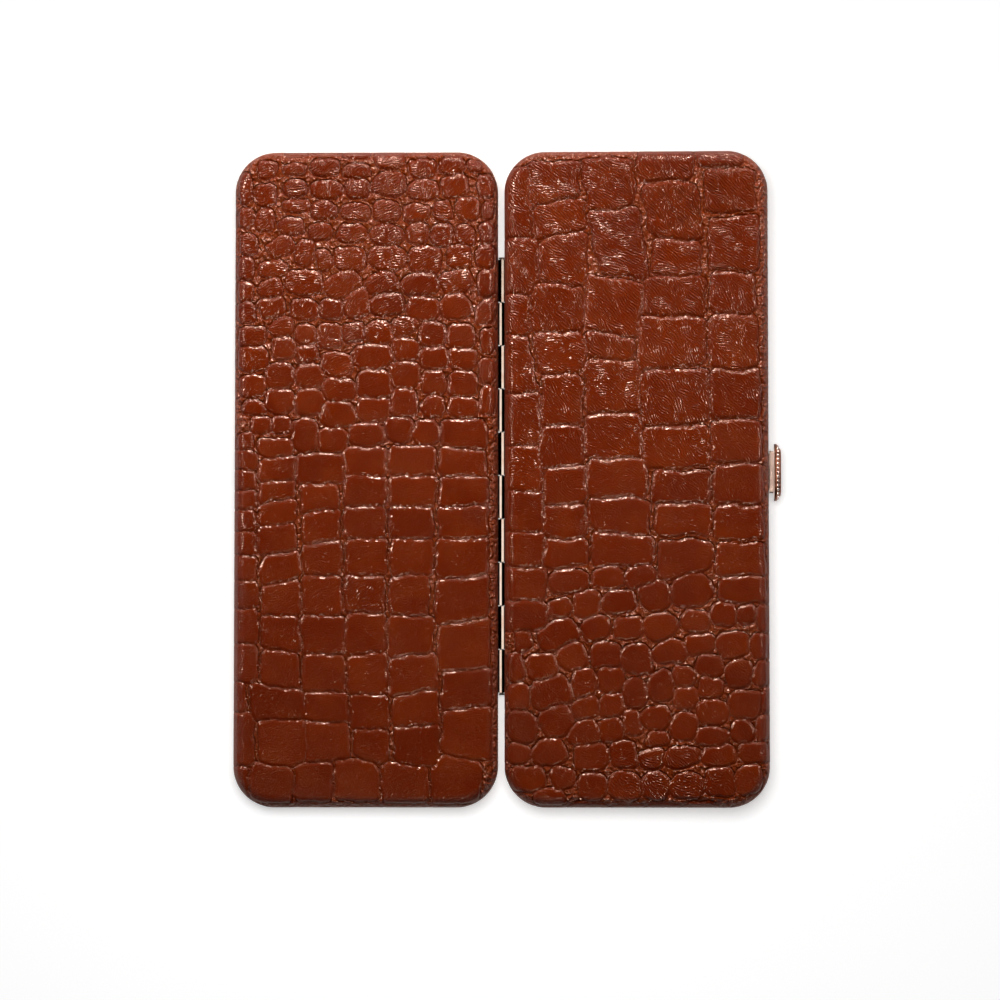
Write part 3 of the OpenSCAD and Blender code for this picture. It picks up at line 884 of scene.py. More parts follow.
def outline_direction(point: Vector) -> Vector:
    """Gives the level direction from the nearest point of the half's core to a point."""
    x = point.x - MIDDLE_X
    core = Vector((max(-CORE_X, min(CORE_X, x)), max(-CORE_Y, min(CORE_Y, point.y))))
    return (Vector((x, point.y)) - core).normalized().to_3d()


@dataclass(frozen=True)
class RoundScale:
    """One round flank scale: an oval with slightly squared shoulders.

    Attributes:
        left, right, top, bottom: Its box on the panel, in millimetres.
        lean: Its turn in degrees, positive with the right side lower.
    """

    left: float
    right: float
    top: float
    bottom: float
    lean: float = 0.0

    @property
    def radius(self) -> float:
        """Half its smaller size."""
        return min(self.right - self.left, self.bottom - self.top) / 2

    def distance(self, u: np.ndarray, v: np.ndarray) -> np.ndarray:
        """Gives the distance in from the scale's outline, negative outside."""
        power = 3.0
        spread = 0.15
        turn = math.radians(self.lean)
        across = u - (self.left + self.right) / 2
        down = v - (self.top + self.bottom) / 2
        half_width = (self.right - self.left) / 2 + spread
        half_length = (self.bottom - self.top) / 2 + spread
        x = np.abs(across * math.cos(turn) + down * math.sin(turn)) / half_width + 1e-6
        y = np.abs(-across * math.sin(turn) + down * math.cos(turn)) / half_length + 1e-6
        reach = (x**power + y**power) ** (1 / power)
        slope = reach ** (1 - power) * np.hypot(x ** (power - 1) / half_width, y ** (power - 1) / half_length)
        return (1 - reach) / slope


@dataclass(frozen=True)
class PlateScale:
    """One large belly or back scale: four nearly straight sides with rounded corners.

    Attributes:
        corners: Its corners on the panel in millimetres, clockwise from the upper left.
        rounding: Radius of its corners.
        margin: Distance that its sides are drawn in. A negative one lets neighbours meet.
    """

    corners: tuple[tuple[float, float], ...]
    rounding: float = 1.6
    margin: float = -0.3

    @property
    def radius(self) -> float:
        """Half its smaller size, at most that of a middling scale."""
        (left, top), (right, _), _, (_, low) = self.corners
        return min(right - left, low - top, 9.0) / 2

    def distance(self, u: np.ndarray, v: np.ndarray) -> np.ndarray:
        """Gives the distance in from the scale's outline, negative outside."""
        sides = []
        for (u0, v0), (u1, v1) in zip(self.corners, self.corners[1:] + self.corners[:1]):
            length = math.hypot(u1 - u0, v1 - v0)
            sides.append(((u1 - u0) * (v - v0) - (v1 - v0) * (u - u0)) / length - self.margin)
        down = np.minimum(sides[0], sides[2])
        across = np.minimum(sides[1], sides[3])
        near = np.hypot(np.maximum(self.rounding - across, 0), np.maximum(self.rounding - down, 0))
        return np.where(near > 0, self.rounding - near, np.minimum(across, down))


def plate(*sizes: float) -> PlateScale:
    """Draws a plate scale.

    Args:
        *sizes: Left, right, top and bottom, or each of them twice where a side slants:
            left and right at the top and the bottom, top and bottom at the left and the right.

    Returns:
        The scale.
    """
    if len(sizes) == 4:
        left, right, top, bottom = sizes
        sizes = (left, left, right, right, top, top, bottom, bottom)
    left_top, left_low, right_top, right_low, top_left, top_right, low_left, low_right = sizes
    return PlateScale(
        ((left_top, top_left), (right_top, top_right), (right_low, low_right), (left_low, low_left))
    )


def column(
    sides: Sequence[tuple[float, float]], lines: Sequence[tuple[float, ...]]
) -> tuple[PlateScale, ...]:
    """Draws a column of plate scales.

    Args:
        sides: Left and right side of each scale.
        lines: The creases between them, one value, or one at each end.

    Returns:
        The scales, from the top.
    """
    return tuple(
        plate(left, left, right, right, upper[0], upper[-1], lower[0], lower[-1])
        for (left, right), upper, lower in zip(sides, lines, lines[1:])
    )


# Round scales of the left panel: left, right, top, bottom and lean, from the panel's upper left
LEFT_ROUND = (
    (5.5, 10.3, 2.2, 6.8), (12, 17.5, 3, 6.2), (18.5, 25.6, 2, 6.2), (26.8, 33, 3.5, 6.5),
    (12, 17.5, -3.5, 1), (18.5, 25.5, -4, 0.8), (26.5, 33.3, -3.5, 1.8), (34.5, 41.8, -1.5, 4.6),
    (42.5, 49.5, 2, 6.8), (50.2, 56, 1.2, 5.8), (56.8, 60.5, 2, 5.5),
    (0.5, 4.2, 5, 13), (5, 10.3, 8, 13.5), (12, 17.7, 7.2, 11), (18.6, 26, 7.4, 11.8),
    (26.9, 33, 7, 11.8), (33.5, 41.8, 5.4, 11.2), (42.5, 49.5, 7.3, 12.2),
    (50.5, 57.2, 6, 11.5, -12), (59.5, 63.6, 5.8, 11.5),
    (0.5, 4.5, 14, 19), (5.2, 9.8, 14.2, 19.8), (11.6, 18, 11.9, 15.3), (18.7, 25, 12.4, 16.8),
    (26, 32.8, 13, 17.2), (33.7, 40.3, 12.2, 17.5), (41.3, 47.6, 13, 17.6), (48.8, 53.2, 12.3, 17.6),
    (54.3, 59.5, 11.6, 17.2), (60.5, 64, 12.5, 17),
    (0.8, 5.8, 20.2, 25.5), (10.7, 17, 16.5, 20.7), (18.2, 23.8, 17.6, 22.3), (25, 32.2, 18.1, 22.6),
    (33.2, 41.2, 18.4, 23), (42, 47.5, 18, 23), (48.4, 53, 18.2, 23.8), (53.8, 58.6, 18.2, 23.4),
    (59.8, 63.8, 17.6, 22.8),
    (7.8, 14.5, 21.2, 26, -25), (14.8, 19.5, 21.8, 28.3, 10), (20, 23.6, 24, 29.5),
    (24.3, 32.2, 23.8, 29.5), (33, 41.8, 23.2, 29.6), (42.5, 50.5, 23.6, 30.5), (52, 57.8, 23.2, 28.8),
    (59, 64, 23, 29),
    (0.3, 4.8, 26, 31.5), (5.8, 13, 27, 31), (12.5, 21.5, 29.2, 35.6), (22, 31, 30, 35.8, -22),
    (32, 40, 30, 35, -10), (40.5, 49.8, 30, 35.5, -10), (50.3, 58.4, 29.2, 35.2, -15),
    (59.6, 64, 29.5, 36), (6, 11.8, 31.3, 36.2, -15), (0.3, 4.6, 32, 37),
    (0.3, 5, 37, 42), (6, 12.6, 35.8, 41, -15), (13.7, 20.5, 36.6, 41.8), (21, 26.8, 36.3, 41.5),
    (27, 33, 33.8, 41), (33, 41.6, 35.3, 40.8, -5), (42.2, 50, 36.2, 41.8), (50.3, 57.6, 35, 41.2),
    (58.8, 64, 36.5, 42.5),
    (0.5, 8, 42.8, 48, -8), (8.5, 14.5, 41.3, 45.5, -25), (15, 20, 42.8, 47.5), (20.2, 26.2, 42.5, 48.5),
    (26.2, 32, 41.8, 47), (32.2, 38.8, 41.8, 47.5), (38.2, 44.8, 41, 45.2, -25), (45.2, 51.6, 42, 48.3),
    (52, 58.6, 42.3, 48.4), (60, 64.2, 43.5, 50),
    (0.5, 8.5, 47.8, 54), (9.4, 15.2, 45.8, 51, -10), (15.2, 20.5, 48, 52, -10),
    (21.2, 29.2, 49.5, 55.5, 10), (28.8, 38.6, 47.5, 53.5), (38.3, 45.2, 46, 51.2, 5),
    (45.2, 52.2, 48, 54), (52.2, 59.2, 48.3, 53.8), (59.8, 64.2, 51, 57),
    (0.8, 7.5, 54.8, 60.5), (7.4, 14.6, 52, 58, -10), (14.8, 21.8, 52.2, 58, 8), (21.6, 29.6, 55.5, 61.5),
    (29.8, 38.6, 53.8, 61), (38, 45.2, 51.5, 58.5), (45.8, 51.6, 53.8, 59.8), (52.2, 59.2, 54, 60.5),
    (59.8, 64.2, 57.5, 64.5),
    (2, 7.6, 61, 64.8), (7.8, 14.5, 58, 64.5), (14.8, 22, 58.3, 64.8), (21, 29.8, 61.3, 67.6),
    (30.2, 38.2, 60.3, 66.5), (38.2, 45, 58.3, 65.2), (45.8, 51.4, 60.2, 65.5),
    (52.3, 59.6, 60.3, 65.8, 15),
    (3.8, 9, 65.3, 69.3), (9.2, 14.4, 65, 69.2), (14.2, 20.6, 65.5, 73.8), (20.6, 27.8, 67.8, 74.3),
    (28, 36.8, 66.8, 72.3), (36.8, 43.8, 65.3, 71.5), (43.8, 50, 66, 72), (5.8, 14.6, 70.2, 75.2),
    (0.3, 4.9, 69, 73.2),
)

# Belly scales of the left panel, column by column. The outer columns run on over the sides
LEFT_PLATES = (
    column(
        ((-6, 5.3), (-6, 5.3), (-6, 5.3), (-6, 5.3), (-6, 5.3), (-6, 5.6), (-6, 5.8), (-6, 5.8),
         (-6, 5.8), (-6, 3), (-6, 5), (-6, 3.5)),
        ((73.5,), (78,), (83,), (88,), (93,), (98.8,), (105.3,), (111.9,), (120.2,), (129.5,),
         (137.2,), (149.7,), (166,)),
    )
    + column(
        ((6.2, 15), (6.2, 15), (6.2, 15), (6.2, 15), (7, 16), (7, 16), (7, 16), (7, 16), (4.5, 17.3),
         (6.5, 17.5), (4.5, 14.5)),
        ((75.9, 74.8), (81.2, 80.2), (86.5, 85), (92, 91), (99, 97.8), (106.3, 104.7), (113.8,),
         (121.5, 122.8), (129.8, 131.8), (138.7,), (149, 151), (158.7,)),
    )
    + column(
        ((15.3, 26.8), (16.5, 25.3), (17, 25.8), (17, 26.2), (17, 26.2), (17, 26.8), (17.2, 27),
         (17.5, 27.8), (18, 28.2), (15.5, 24)),
        ((74.3,), (81.5,), (88.6, 87.6), (96.2, 95.3), (103.9,), (113.3,), (123,), (132.2,), (139, 140),
         (148.8,), (158.7,)),
    )
    + column(
        ((27, 37), (27, 37.2), (27, 36.8), (27.5, 37.2), (27.3, 36.5), (27.5, 37), (28, 37.3),
         (28.8, 37.7), (29.5, 37.7), (25, 35.5)),
        ((72.7,), (79.5,), (87.2,), (94.8,), (103.7,), (113.1,), (123.3, 122.3), (132.5,), (141,),
         (148, 150), (158.3,)),
    )
    + column(
        ((38, 49), (38, 49), (38.2, 48.5), (38.5, 48.3), (38, 47.5), (38, 48.5), (38.3, 49.5),
         (39, 49.8), (39.5, 50), (36.5, 47.3)),
        ((72.5,), (79.6,), (87,), (95.1,), (104,), (113.6,), (124, 122.5), (133.2, 131.6), (140.3,),
         (149, 150.3), (158.8,)),
    )
    + column(
        ((50.6, 61.5), (50.3, 61.5), (50.3, 62), (50, 62), (49.5, 61.8), (49.3, 62), (50, 62.5),
         (51, 63), (51, 62.8), (48.5, 60)),
        ((66,), (72.3, 73.7), (79.8,), (87.1,), (94.8,), (105.3, 103.5), (116, 114), (127.4, 126),
         (136.6, 135.3), (147.2, 149), (159.3,)),
    )
)

# Large scales of the right panel, column by column from the hinge
RIGHT_PLATES = tuple(
    plate(*sizes)
    for sizes in (
        (-6, 6.5, 4, 21.3), (-6, 8, 21.8, 35), (-6, 6, 35.5, 45),
        (-6, -6, 5.5, 8.3, 45.7, 45.7, 59.3, 59.3), (-6, 8.8, 60, 72.2), (-6, 9, 72.6, 83.3),
        (-6, 9.3, 83.6, 93.2), (-6, 9.7, 93.5, 101.8), (-6, 10, 102.1, 109.8), (-6, 10.3, 110, 117),
        (6, 6, 18, 18, 3, 3, 13.3, 11.2), (7.5, 7.5, 19.8, 19.8, 13.8, 11.8, 21.8, 19.5),
        (8.8, 8.8, 20, 20, 22.2, 20.2, 31.8, 33.5), (6.8, 6.8, 19.3, 19.3, 32.6, 34.1, 44.6, 44.6),
        (7, 8.8, 19.5, 19.5, 45, 45, 54.4, 54.4), (9.3, 18.7, 55.2, 67),
        (8.8, 8.8, 19.3, 19.3, 67.6, 67.6, 78, 76.5), (9.8, 9.8, 19.6, 19.6, 78.6, 77, 86.8, 86),
        (9.8, 20, 87, 94.6), (9.8, 9.8, 20.3, 20.3, 95.2, 95.2, 102, 101),
        (18.8, 21, 31.5, 31.5, 2, 2, 15.3, 13.5), (20.5, 23.5, 32.6, 35.2, 15.8, 14.2, 30, 31.5),
        (20.4, 19.8, 33.8, 32.6, 30.8, 32.6, 43.5, 46), (20.3, 20.3, 31.5, 31.5, 44.2, 46.8, 50.5, 51.5),
        (20, 32.8, 51.7, 64), (19.8, 33.3, 64.8, 75.2), (20.3, 34.5, 75.8, 84.7),
        (20.8, 20.8, 35.2, 35.2, 85.4, 85.4, 92.3, 94.2), (21.5, 21.5, 36.2, 36.2, 93.3, 94.9, 101.3, 101.3),
        (32.8, 32.8, 45.8, 45.8, -5, -5, 7.6, 6.9), (33.5, 36, 46.6, 48.6, 8.5, 8, 21.2, 22.3),
        (36.2, 36.2, 47.8, 47.8, 22, 23, 30.2, 31), (34.2, 48.8, 31.3, 40.5),
        (32.8, 32.8, 48.9, 48.9, 41.3, 41.3, 53.9, 52.4), (33.5, 33.5, 49.5, 49.5, 54.6, 53.6, 67.4, 66.7),
        (34, 34, 49.8, 49.8, 68, 68, 77.9, 77.2), (36, 49.8, 78.6, 85.9), (36.8, 50, 86.9, 94.1),
        (37.5, 37.5, 50.3, 50.3, 95.4, 95.4, 105, 102.3),
        (47, 58, -5, 4), (49, 61, 5, 15.3), (50, 50, 62, 62, 17.3, 16.3, 29, 29.8),
        (50.3, 50.3, 61, 61, 30.2, 31, 39.9, 39.9), (50, 61.5, 40.7, 53.4), (50.3, 62.3, 54.3, 65.5),
        (50.6, 62.5, 66.5, 76.1), (51, 63, 77.2, 86.3), (51.2, 63, 87.3, 95), (51.5, 63.5, 96.2, 103.7),
        (52, 64, 104.4, 110.2),
    )
)

# Round scales of the right panel
RIGHT_ROUND = (
    (10.8, 20.3, 102.2, 108.3), (21.3, 29.2, 101.8, 107), (29.3, 36.8, 101.5, 107.2, -9),
    (33, 40.3, 104.8, 112.5, -15), (40.3, 50.3, 103.7, 111.5, -12),
    (10.5, 16.2, 109.3, 114.3), (16.8, 23.3, 107.2, 114), (23.8, 32, 107.3, 113, -8),
    (42.8, 49.8, 112.2, 117.5), (50, 56.2, 110.5, 116.3), (56.5, 60.8, 111, 115.8), (61.3, 64.5, 110.8, 117),
    (18.7, 25.7, 113.7, 119.6, -5), (26.7, 33.7, 113.6, 119.6), (33.8, 42, 113, 119.3, -12),
    (8, 18.2, 114.8, 121.5, -20), (2.3, 6.6, 117, 122.3), (43.8, 51.2, 118, 123.2, -8),
    (51.5, 59.3, 117.3, 123.6), (59.8, 64.3, 117.6, 124),
    (0.2, 5, 122.3, 129.7), (5.3, 13, 122.8, 129.5, -5), (12.8, 20, 120.3, 126.8, -15),
    (20.8, 28.3, 120, 126.5), (28.3, 36, 120.5, 127.8), (36.2, 43.8, 119.5, 125.3, -10),
    (40.8, 46.2, 125.3, 130.8), (46.5, 53.2, 123.3, 128.3), (53.5, 60, 124.3, 131),
    (60.5, 64.5, 124.5, 130.5),
    (6.5, 16.3, 128.2, 136.3, -15), (16.5, 22.5, 126.3, 133.5), (23, 29, 126, 132.2),
    (28.8, 34.5, 128.7, 135.7), (34.8, 40.9, 126.6, 134.5), (47, 53, 128.6, 133.6), (41, 47, 130.8, 136.3),
    (0.2, 6, 130, 136.8),
    (16.5, 23.2, 133.5, 138.7, -10), (23.2, 29.2, 132.5, 138), (46.5, 54.2, 134, 139.8),
    (54.3, 62.3, 131.6, 138.7), (62.5, 65, 131, 137), (8.5, 16.8, 135.3, 143, -15), (0.3, 8, 136.8, 144.3),
    (15.5, 23, 139, 145, -12), (23, 28.8, 138.4, 144.2), (28.8, 33.2, 136.3, 142.5), (33.5, 40, 135.5, 141.3),
    (40.3, 46.8, 137, 143.8), (46.5, 54.3, 140.5, 145.2), (54.8, 60.2, 139, 144.3), (60.8, 64.6, 137.5, 144),
    (34, 39.8, 141.5, 145.3),
    (0.3, 6.3, 144.7, 149.6), (6.8, 15.2, 143.5, 150, -10), (16.8, 25.3, 144.2, 151),
    (25.8, 32.3, 143.8, 150.3),
    (32.5, 38.8, 145.8, 151), (38.8, 47.3, 145, 150.3), (47.6, 56.2, 144.8, 149.8), (56.8, 64.3, 144, 149.3),
    (0.5, 10.2, 150, 156.5), (11.2, 17.3, 150, 155.5), (17.8, 25, 151.8, 158.3), (25.3, 33, 151.3, 158.5),
    (33.3, 39.8, 151.5, 158.3), (40.2, 48.2, 151.5, 158), (48.5, 55.8, 150.3, 157.5), (56, 62.5, 149.7, 157),
    (7, 14.8, 155.3, 160), (15, 25, 158.8, 164), (25.5, 34, 159.2, 164), (34.5, 43, 158.9, 164),
    (43.5, 52, 158.6, 164),
)


@dataclass(frozen=True)
class Embossing:
    """The crocodile embossing of one panel.

    Attributes:
        scales: Its scales, on a panel whose origin is its upper left corner.
        coarse_at: Places of coarse ridged grain, each with its strength and radius.
        seed: Seed of the small irregularities.
        depth: Depth of the creases.
        shoulder: Width of a scale's rounded border.
        crown: Share of a scale's height that it gains from its border to its middle.
        fold: Height of the folds between the scales, as a share of the depth.
        fold_from: Distance from an outline over which a fold rises.
        far: Distance from a scale past which its outline doesn't count.
        waves: Number of waves that make up an irregular value.
        long_sway, short_sway: Wave and size of the outlines' irregularities.
        fold_sway, face_sway: Wave and size of those of the folds' and of the scales' height.
        grain_sway: Wave and size of those of the grain's turn.
        plain_grain: Least strength of coarse grain.
    """

    scales: tuple[Union[RoundScale, PlateScale], ...]
    coarse_at: tuple[tuple[float, float, float, float], ...]
    seed: int
    depth: float = 0.4
    shoulder: float = 0.6
    crown: float = 0.16
    fold: float = 0.68
    fold_from: float = 0.2
    far: float = 3.0
    waves: int = 9
    long_sway: tuple[float, float] = (6, 0.24)
    short_sway: tuple[float, float] = (2.2, 0.1)
    fold_sway: tuple[float, float] = (1.5, 0.4)
    face_sway: tuple[float, float] = (3.4, 0.03)
    grain_sway: tuple[float, float] = (5, 0.5)
    plain_grain: float = 0.1

    def wander(
        self, u: np.ndarray, v: np.ndarray, wave: float, size: float, draw: np.random.Generator
    ) -> np.ndarray:
        """Gives a smooth irregular value over the panel.

        Args:
            u: Distances from the panel's left.
            v: Distances from its top.
            wave: Rough distance between two hills.
            size: Rough height of a hill.
            draw: The source of random numbers.

        Returns:
            The value at each point.
        """
        total = np.zeros_like(u)
        for _ in range(self.waves):
            turn = draw.uniform(0, 2 * math.pi)
            step = 2 * math.pi / (wave * draw.uniform(0.7, 1.6))
            total += np.sin(step * (u * math.cos(turn) + v * math.sin(turn)) + draw.uniform(0, 6.3))
        return total * size / 3

    def relief(self, u: np.ndarray, v: np.ndarray) -> dict[str, np.ndarray]:
        """Works out the embossing.

        Args:
            u: Distances from the panel's left edge, as seen from above.
            v: Distances from its top edge.

        Returns:
            By name: the depth below the outer surface, the distance in from the nearest
            scale's outline, the tone of the scale, and the turn and strength of coarse grain.
        """
        draw = np.random.default_rng(self.seed)
        # Past an edge of the panel, the embossing runs on mirrored
        u, v = (
            np.where(np.abs(place) > size, 2 * size - np.abs(place), np.abs(place))
            for place, size in ((u, HALF_WIDTH), (v, CASE_LENGTH))
        )
        bent_u, bent_v = (
            place + self.wander(u, v, *self.long_sway, draw) + self.wander(u, v, *self.short_sway, draw)
            for place in (u, v)
        )
        first = np.full(u.shape, -self.far)
        second = np.full(u.shape, -self.far)
        owner = np.full(u.shape, len(self.scales))
        for number, scale in enumerate(self.scales):
            inside = np.maximum(scale.distance(bent_u, bent_v), -self.far)
            second = np.maximum(second, np.minimum(inside, first))
            owner = np.where(inside > first, number, owner)
            first = np.maximum(first, inside)
        edge = np.where(first > 0, np.minimum(first, (first - second) / 2), first)
        radius = np.array([scale.radius for scale in self.scales] + [2.0])[owner]
        border = 1 - (1 - np.clip(edge / self.shoulder, 0, 1)) ** 2.2
        crown = 1 - (1 - np.clip(edge / radius, 0, 1)) ** 2
        raised = (1 - self.crown) * border + self.crown * crown
        out = np.maximum(-edge, 0)
        fold = self.fold * (1 - np.exp(-out / self.fold_from))
        fold += self.wander(u, v, *self.fold_sway, draw) * smooth_step(out, 0.0, 0.35)
        rise = np.where(edge > 0, raised, np.clip(fold, 0, 0.9))
        rise += self.wander(u, v, *self.face_sway, draw) * smooth_step(edge, 0.3, 1.4)
        # The last of each list is for the leather between the scales
        tones = np.append(draw.uniform(0.0, 1, len(self.scales)), 0.8)
        turns = np.append(draw.uniform(0.5, 1.6, len(self.scales)), 0.8)
        coarse = np.full(u.shape, self.plain_grain)
        for at_u, at_v, strength, size in self.coarse_at:
            near = np.exp(-((u - at_u) ** 2 + (v - at_v) ** 2) / size**2)
            coarse = np.maximum(coarse, strength * near)
        coarse *= np.append(draw.uniform(0.6, 1, len(self.scales)), 0.25)[owner]
        return {
            "depth": self.depth * (1 - np.clip(rise, 0, 1)),
            "edge_distance": edge,
            "scale_tone": tones[owner],
            "grain_turn": turns[owner] + self.wander(u, v, *self.grain_sway, draw),
            "coarse_grain": coarse * smooth_step(edge, 0.1, 0.7),
        }


@dataclass(frozen=True)
class LeatherCover:
    """The embossed leather of one half, wrapped over its shell down to the frame's band.

    Attributes:
        side: The half.
        embossing: Its embossing.
        thickness: Thickness of the leather.
        pitch: Distance between neighbouring points of the surface.
        form: Its outer surface.
        ceiling_rounding: Size of the slope between its inner wall and its ceiling.
        side_share: Depth of the embossing on the sides, as a share of that on the face.
        sides_from: Where the embossing starts and ends to fade, past the edge of the level face.
        plated_to: Where the plated gloss starts and ends to fade, past the same edge.
        lip: Where the embossing starts and ends to fade above the rim.
    """

    side: Side
    embossing: Embossing
    thickness: float = 0.8
    pitch: float = 0.385
    form: TrayForm = TrayForm(inset=0.0, bottom=3.03, top=HALF_DEPTH, rounding=EDGE_RADIUS)
    ceiling_rounding: float = 0.5
    side_share: float = 0.15
    sides_from: tuple[float, float] = (1.5, 4.2)
    plated_to: tuple[float, float] = (1.2, 3.4)
    lip: tuple[float, float] = (1.2, 0.2)

    def build(self) -> bpy.types.Object:
        """Folds, embosses and closes the leather.

        Returns:
            The finished piece.
        """
        sheet = self.form.sheet(self.pitch)
        mesh = bpy.data.meshes.new("sheet")
        sheet.to_mesh(mesh)
        sheet.free()
        flat = np.empty(len(mesh.vertices) * 3)
        mesh.vertices.foreach_get("co", flat)
        flat = self.settle(flat.reshape(-1, 3))
        place, facing, along, seen = self.form.fold(flat)
        relief = self.relief(seen)
        past_face = along - (self.form.corner - self.form.rounding)
        above_rim = along - self.form.reach
        share = 1 - (1 - self.side_share) * smooth_step(past_face, *self.sides_from)
        share *= 1 - smooth_step(above_rim, -self.lip[0], -self.lip[1])
        place -= facing * (relief["depth"] * share)[:, None]
        mesh.vertices.foreach_set("co", place.ravel())
        relief["plated"] = 1 - smooth_step(past_face, *self.plated_to)
        for name in HIDE_MAPS:
            layer = mesh.attributes.new(name, "FLOAT", "POINT")
            layer.data.foreach_set("value", relief[name].astype(np.float32))
        corner = np.empty(len(mesh.loops), np.int32)
        mesh.loops.foreach_get("vertex_index", corner)
        mesh.uv_layers.new(name="hide").data.foreach_set("uv", seen[corner].ravel())
        form = bmesh.new()
        form.from_mesh(mesh)
        bpy.data.meshes.remove(mesh)
        self.close(form)
        piece = new_piece(f"{self.side.value}_croc_leather_cover", form, self.side.place)
        return hand_over(
            piece, COVER_LEATHER, self.side.body, [f"{self.side.value}_leather_cover"]
        )

    def relief(self, seen: np.ndarray) -> dict[str, np.ndarray]:
        """Gives the embossing at places of the flat hide."""
        across = seen[:, 0] - SIDE_GAP
        u = across if self.side is Side.RIGHT else HALF_WIDTH - across
        return self.embossing.relief(u, CASE_LENGTH / 2 - seen[:, 1])

    def settle(self, flat: np.ndarray) -> np.ndarray:
        """Moves the points that lie near a scale's outline onto it, so that creases run clean.

        Args:
            flat: Points of the sheet, one row each.

        Returns:
            The moved points.
        """
        step = 0.05
        catch = 0.44 * self.pitch
        flattest = 0.25
        edge, right, up = (
            self.relief(self.form.fold(flat + np.array(way) * step)[3])["edge_distance"]
            for way in ((0, 0, 0), (1, 0, 0), (0, 1, 0))
        )
        slope = np.stack(((right - edge) / step, (up - edge) / step), 1)
        steep = np.maximum((slope**2).sum(1), flattest)
        moved = flat.copy()
        moved[:, :2] -= slope * (np.where(np.abs(edge) < catch, edge, 0) / steep)[:, None]
        return moved

    def close(self, form: bmesh.types.BMesh) -> None:
        """Gives the sheet its thickness: a lip at the frame, an inner wall and a ceiling.

        Args:
            form: The folded sheet.
        """
        steps = (
            (self.thickness, 0.0),
            (0.0, HALF_DEPTH - self.thickness - self.ceiling_rounding - self.form.bottom),
            (self.ceiling_rounding, self.ceiling_rounding),
        )
        rim = [edge for edge in form.edges if edge.is_boundary]
        for inward, up in steps:
            for edge in rim:
                edge.smooth = False
            made = bmesh.ops.extrude_edge_only(form, edges=rim)["geom"]
            for vert in of_kind(made, bmesh.types.BMVert):
                vert.co -= outline_direction(vert.co) * inward
                vert.co.z += up
            rim = [edge for edge in of_kind(made, bmesh.types.BMEdge) if edge.is_boundary]
        close_end(form, rim)


@dataclass(frozen=True)
class Lining:
    """The suede lining of one half: a thin soft tray behind the shell.

    Attributes:
        side: The half.
        thickness: Thickness of the suede.
        pitch: Distance between neighbouring points of the surface.
        form: Its outer surface.
    """

    side: Side
    thickness: float = 0.5
    pitch: float = 1.5
    form: TrayForm = TrayForm(inset=2.09, bottom=1.63, top=6.94, rounding=0.91)

    def build(self) -> bpy.types.Object:
        """Folds the suede into its tray and gives it its thickness.

        Returns:
            The finished piece.
        """
        form = self.form.folded(self.pitch)
        piece = new_piece(f"{self.side.value}_suede_lining", form, self.side.place)
        thicken(piece, self.thickness, even=True)
        return hand_over(piece, LINING_SUEDE, self.side.body, [f"{self.side.value}_lining"])


# Half the length, the width and the height of a stitch
STITCH = (0.85, 0.17, 0.14)


def sew(name: str, places: Iterable[tuple[Vector, Vector]], side: Side) -> bpy.types.Object:
    """Sews a row of stitches as one piece of thread.

    Args:
        name: The piece's name.
        places: Middle and direction of each stitch, in the half's own frame.
        side: The half that it is sewn to.

    Returns:
        The finished piece.
    """
    form = bmesh.new()
    for middle, direction in places:
        turn = direction.to_track_quat("X", "Z").to_matrix().to_4x4()
        place = Matrix.Translation(middle) @ turn @ Matrix.Diagonal((*STITCH, 1))
        bmesh.ops.create_uvsphere(form, u_segments=8, v_segments=5, radius=1.0, matrix=place)
    return hand_over(new_piece(name, form, side.place), THREAD, side.body)


